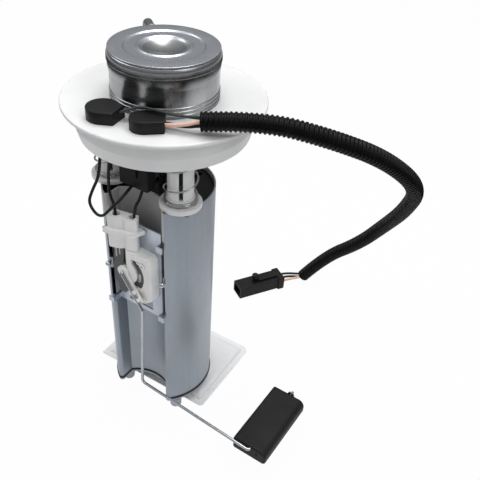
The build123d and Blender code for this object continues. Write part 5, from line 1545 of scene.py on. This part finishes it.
@dataclass
class SenderConnector:
    """The two-cavity connector on the sender, which stands a little askew to the bracket behind it."""

    middle: Pair = (1.85, -51.1)
    turn: float = 18.0
    back_y: float = -45.7
    rim_y: float = -56.2
    rim_reach: float = 1.2
    edge: float = 0.35
    x_from: Tuple[float, ...] = (-13.4, -11.8, -4.975, 8.675, 15.5, 19.5)
    x_to: Tuple[float, ...] = (-12.7, -10.6, -4.975, 8.675, 12.3, 17.2)
    z_from: Tuple[float, ...] = (-99.5, -86.0, -83.0, -70.0)
    z_to: Tuple[float, ...] = (-99.5, -85.2, -82.0, -71.4)

    def build(self) -> None:
        """Narrow the solid, turn it about its middle, hold its back off the bracket and soften its edges."""
        piece = merged_copy("sender_connector", "sender_plug_housing")
        place = mesh_values(piece.data.vertices, "co") / MM
        x = np.interp(place[:, 0], self.x_from, self.x_to) - self.middle[0]
        y = place[:, 1] - self.rim_reach * (place[:, 1] < self.rim_y) - self.middle[1]
        x, y = turned(x, y, self.turn, self.middle)
        z = np.interp(place[:, 2], self.z_from, self.z_to)
        write_points(piece, np.stack([x, np.minimum(y, self.back_y), z], -1) * MM)
        flat(piece)
        bevel = piece.modifiers.new("soft_edges", "BEVEL")
        bevel.width = self.edge * MM
        bevel.segments = 2
        bevel.limit_method = "ANGLE"
        bevel.angle_limit = SHARP
        bevel.harden_normals = True
        PAINT.piece(piece, IVORY, "acetal_white", "sender_connector", "reservoir")
        LOG.info("sender connector")


@dataclass
class SenderCard:
    """The sender's dark resistor card: the plate on its wing, and the arc and its contacts in the window."""

    window_x: float = 6.0
    ring_y: float = -52.0
    forward: float = 5.0
    front_y: float = -51.9
    thickness: float = 0.9
    heights: Tuple[float, ...] = (-102.0, -108.0, -117.0, -119.5, -124.5, -133.3, -142.3, -147.5, -148.8)
    left: Tuple[float, ...] = (-10.4, -10.9, -11.7, -11.9, -12.3, -11.7, -8.7, -7.9, -6.9)
    right: Tuple[float, ...] = (-0.8, -1.2, -1.8, 0.8, 2.6, 2.9, 2.9, -1.0, -2.2)

    def build(self) -> None:
        """Lay the plate and bring the arc and its contacts forward in the window."""
        plate = self.plate()
        arc = merged_copy("resistor_card", "sender_window_card")
        self.bring_forward(arc, 0, self.window_x)
        for piece in (plate, arc):
            flat(piece)
            PAINT.piece(piece, CARD, "resistor_dark", "resistor_card", "reservoir")
        contacts = merged_copy("sender_contacts", "sender_window_contacts")
        self.bring_forward(contacts, 1, self.ring_y)
        flat(contacts)
        PAINT.piece(contacts, BRIGHT, "alloy", "sender_contacts", "reservoir")
        LOG.info("sender card and contacts")

    def bring_forward(self, piece: bpy.types.Object, axis: int, limit: float) -> None:
        """Bring the points that lie past a limit on one axis forward."""
        place = mesh_values(piece.data.vertices, "co") / MM
        past = place[:, axis:axis + 1] > limit
        write_points(piece, np.where(past, place - (0, self.forward, 0), place) * MM)

    def plate(self) -> bpy.types.Object:
        """Rule the plate between its left and right edges at each height: x = l(z) + t (r(z) - l(z)).

        Returns:
            The plate's object.
        """
        z = np.linspace(self.heights[0], self.heights[-1], 90)
        heights = -np.array(self.heights)
        left, right = (np.interp(-z, heights, edge)[:, None] for edge in (self.left, self.right))
        across = np.array([0, 1, 1, 0, 0])
        deep = np.array([0, 0, 1, 1, 0]) * self.thickness
        x = left + (right - left) * across
        rows = np.stack([x, self.front_y + deep + 0 * x, z[:, None] + 0 * x], -1)
        return grid_object("sender_card_plate", drawn_in(rows) * MM)


def dress_nodes() -> None:
    """Put its finish on every node of the frame."""
    for finish, names in NODE_FINISHES.items():
        for name in names:
            PAINT.node(name, finish)
    LOG.info("finishes on %d nodes", sum(len(names) for names in NODE_FINISHES.values()))


def main() -> None:
    """Build every class in order."""
    logging.basicConfig(level=logging.INFO, format="%(message)s")
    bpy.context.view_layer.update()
    bpy.context.scene.view_settings.view_transform = "Standard"
    Studio().build()
    dress_nodes()
    Loom().build()
    Wiring().build()
    FuelHose().build()
    FilterCan().build()
    TerminalCap(
        "sender_cap_cover", "sender_terminal_cap",
        centre=(-10.0, -52.3), angle=9.0, radius=11.2, length=12.2, width=15.4,
    ).build()
    TerminalCap(
        "pump_cap_cover", "pump_terminal_cap",
        centre=(20.0, -47.6), angle=34.0, radius=9.0, length=14.2, width=13.5,
    ).build()
    Float().build()
    BaseSeal().build()
    SenderConnector().build()
    SenderCard().build()
    ReturnSprings().build()
    Strainer().build()


if __name__ == "__main__":
    main()
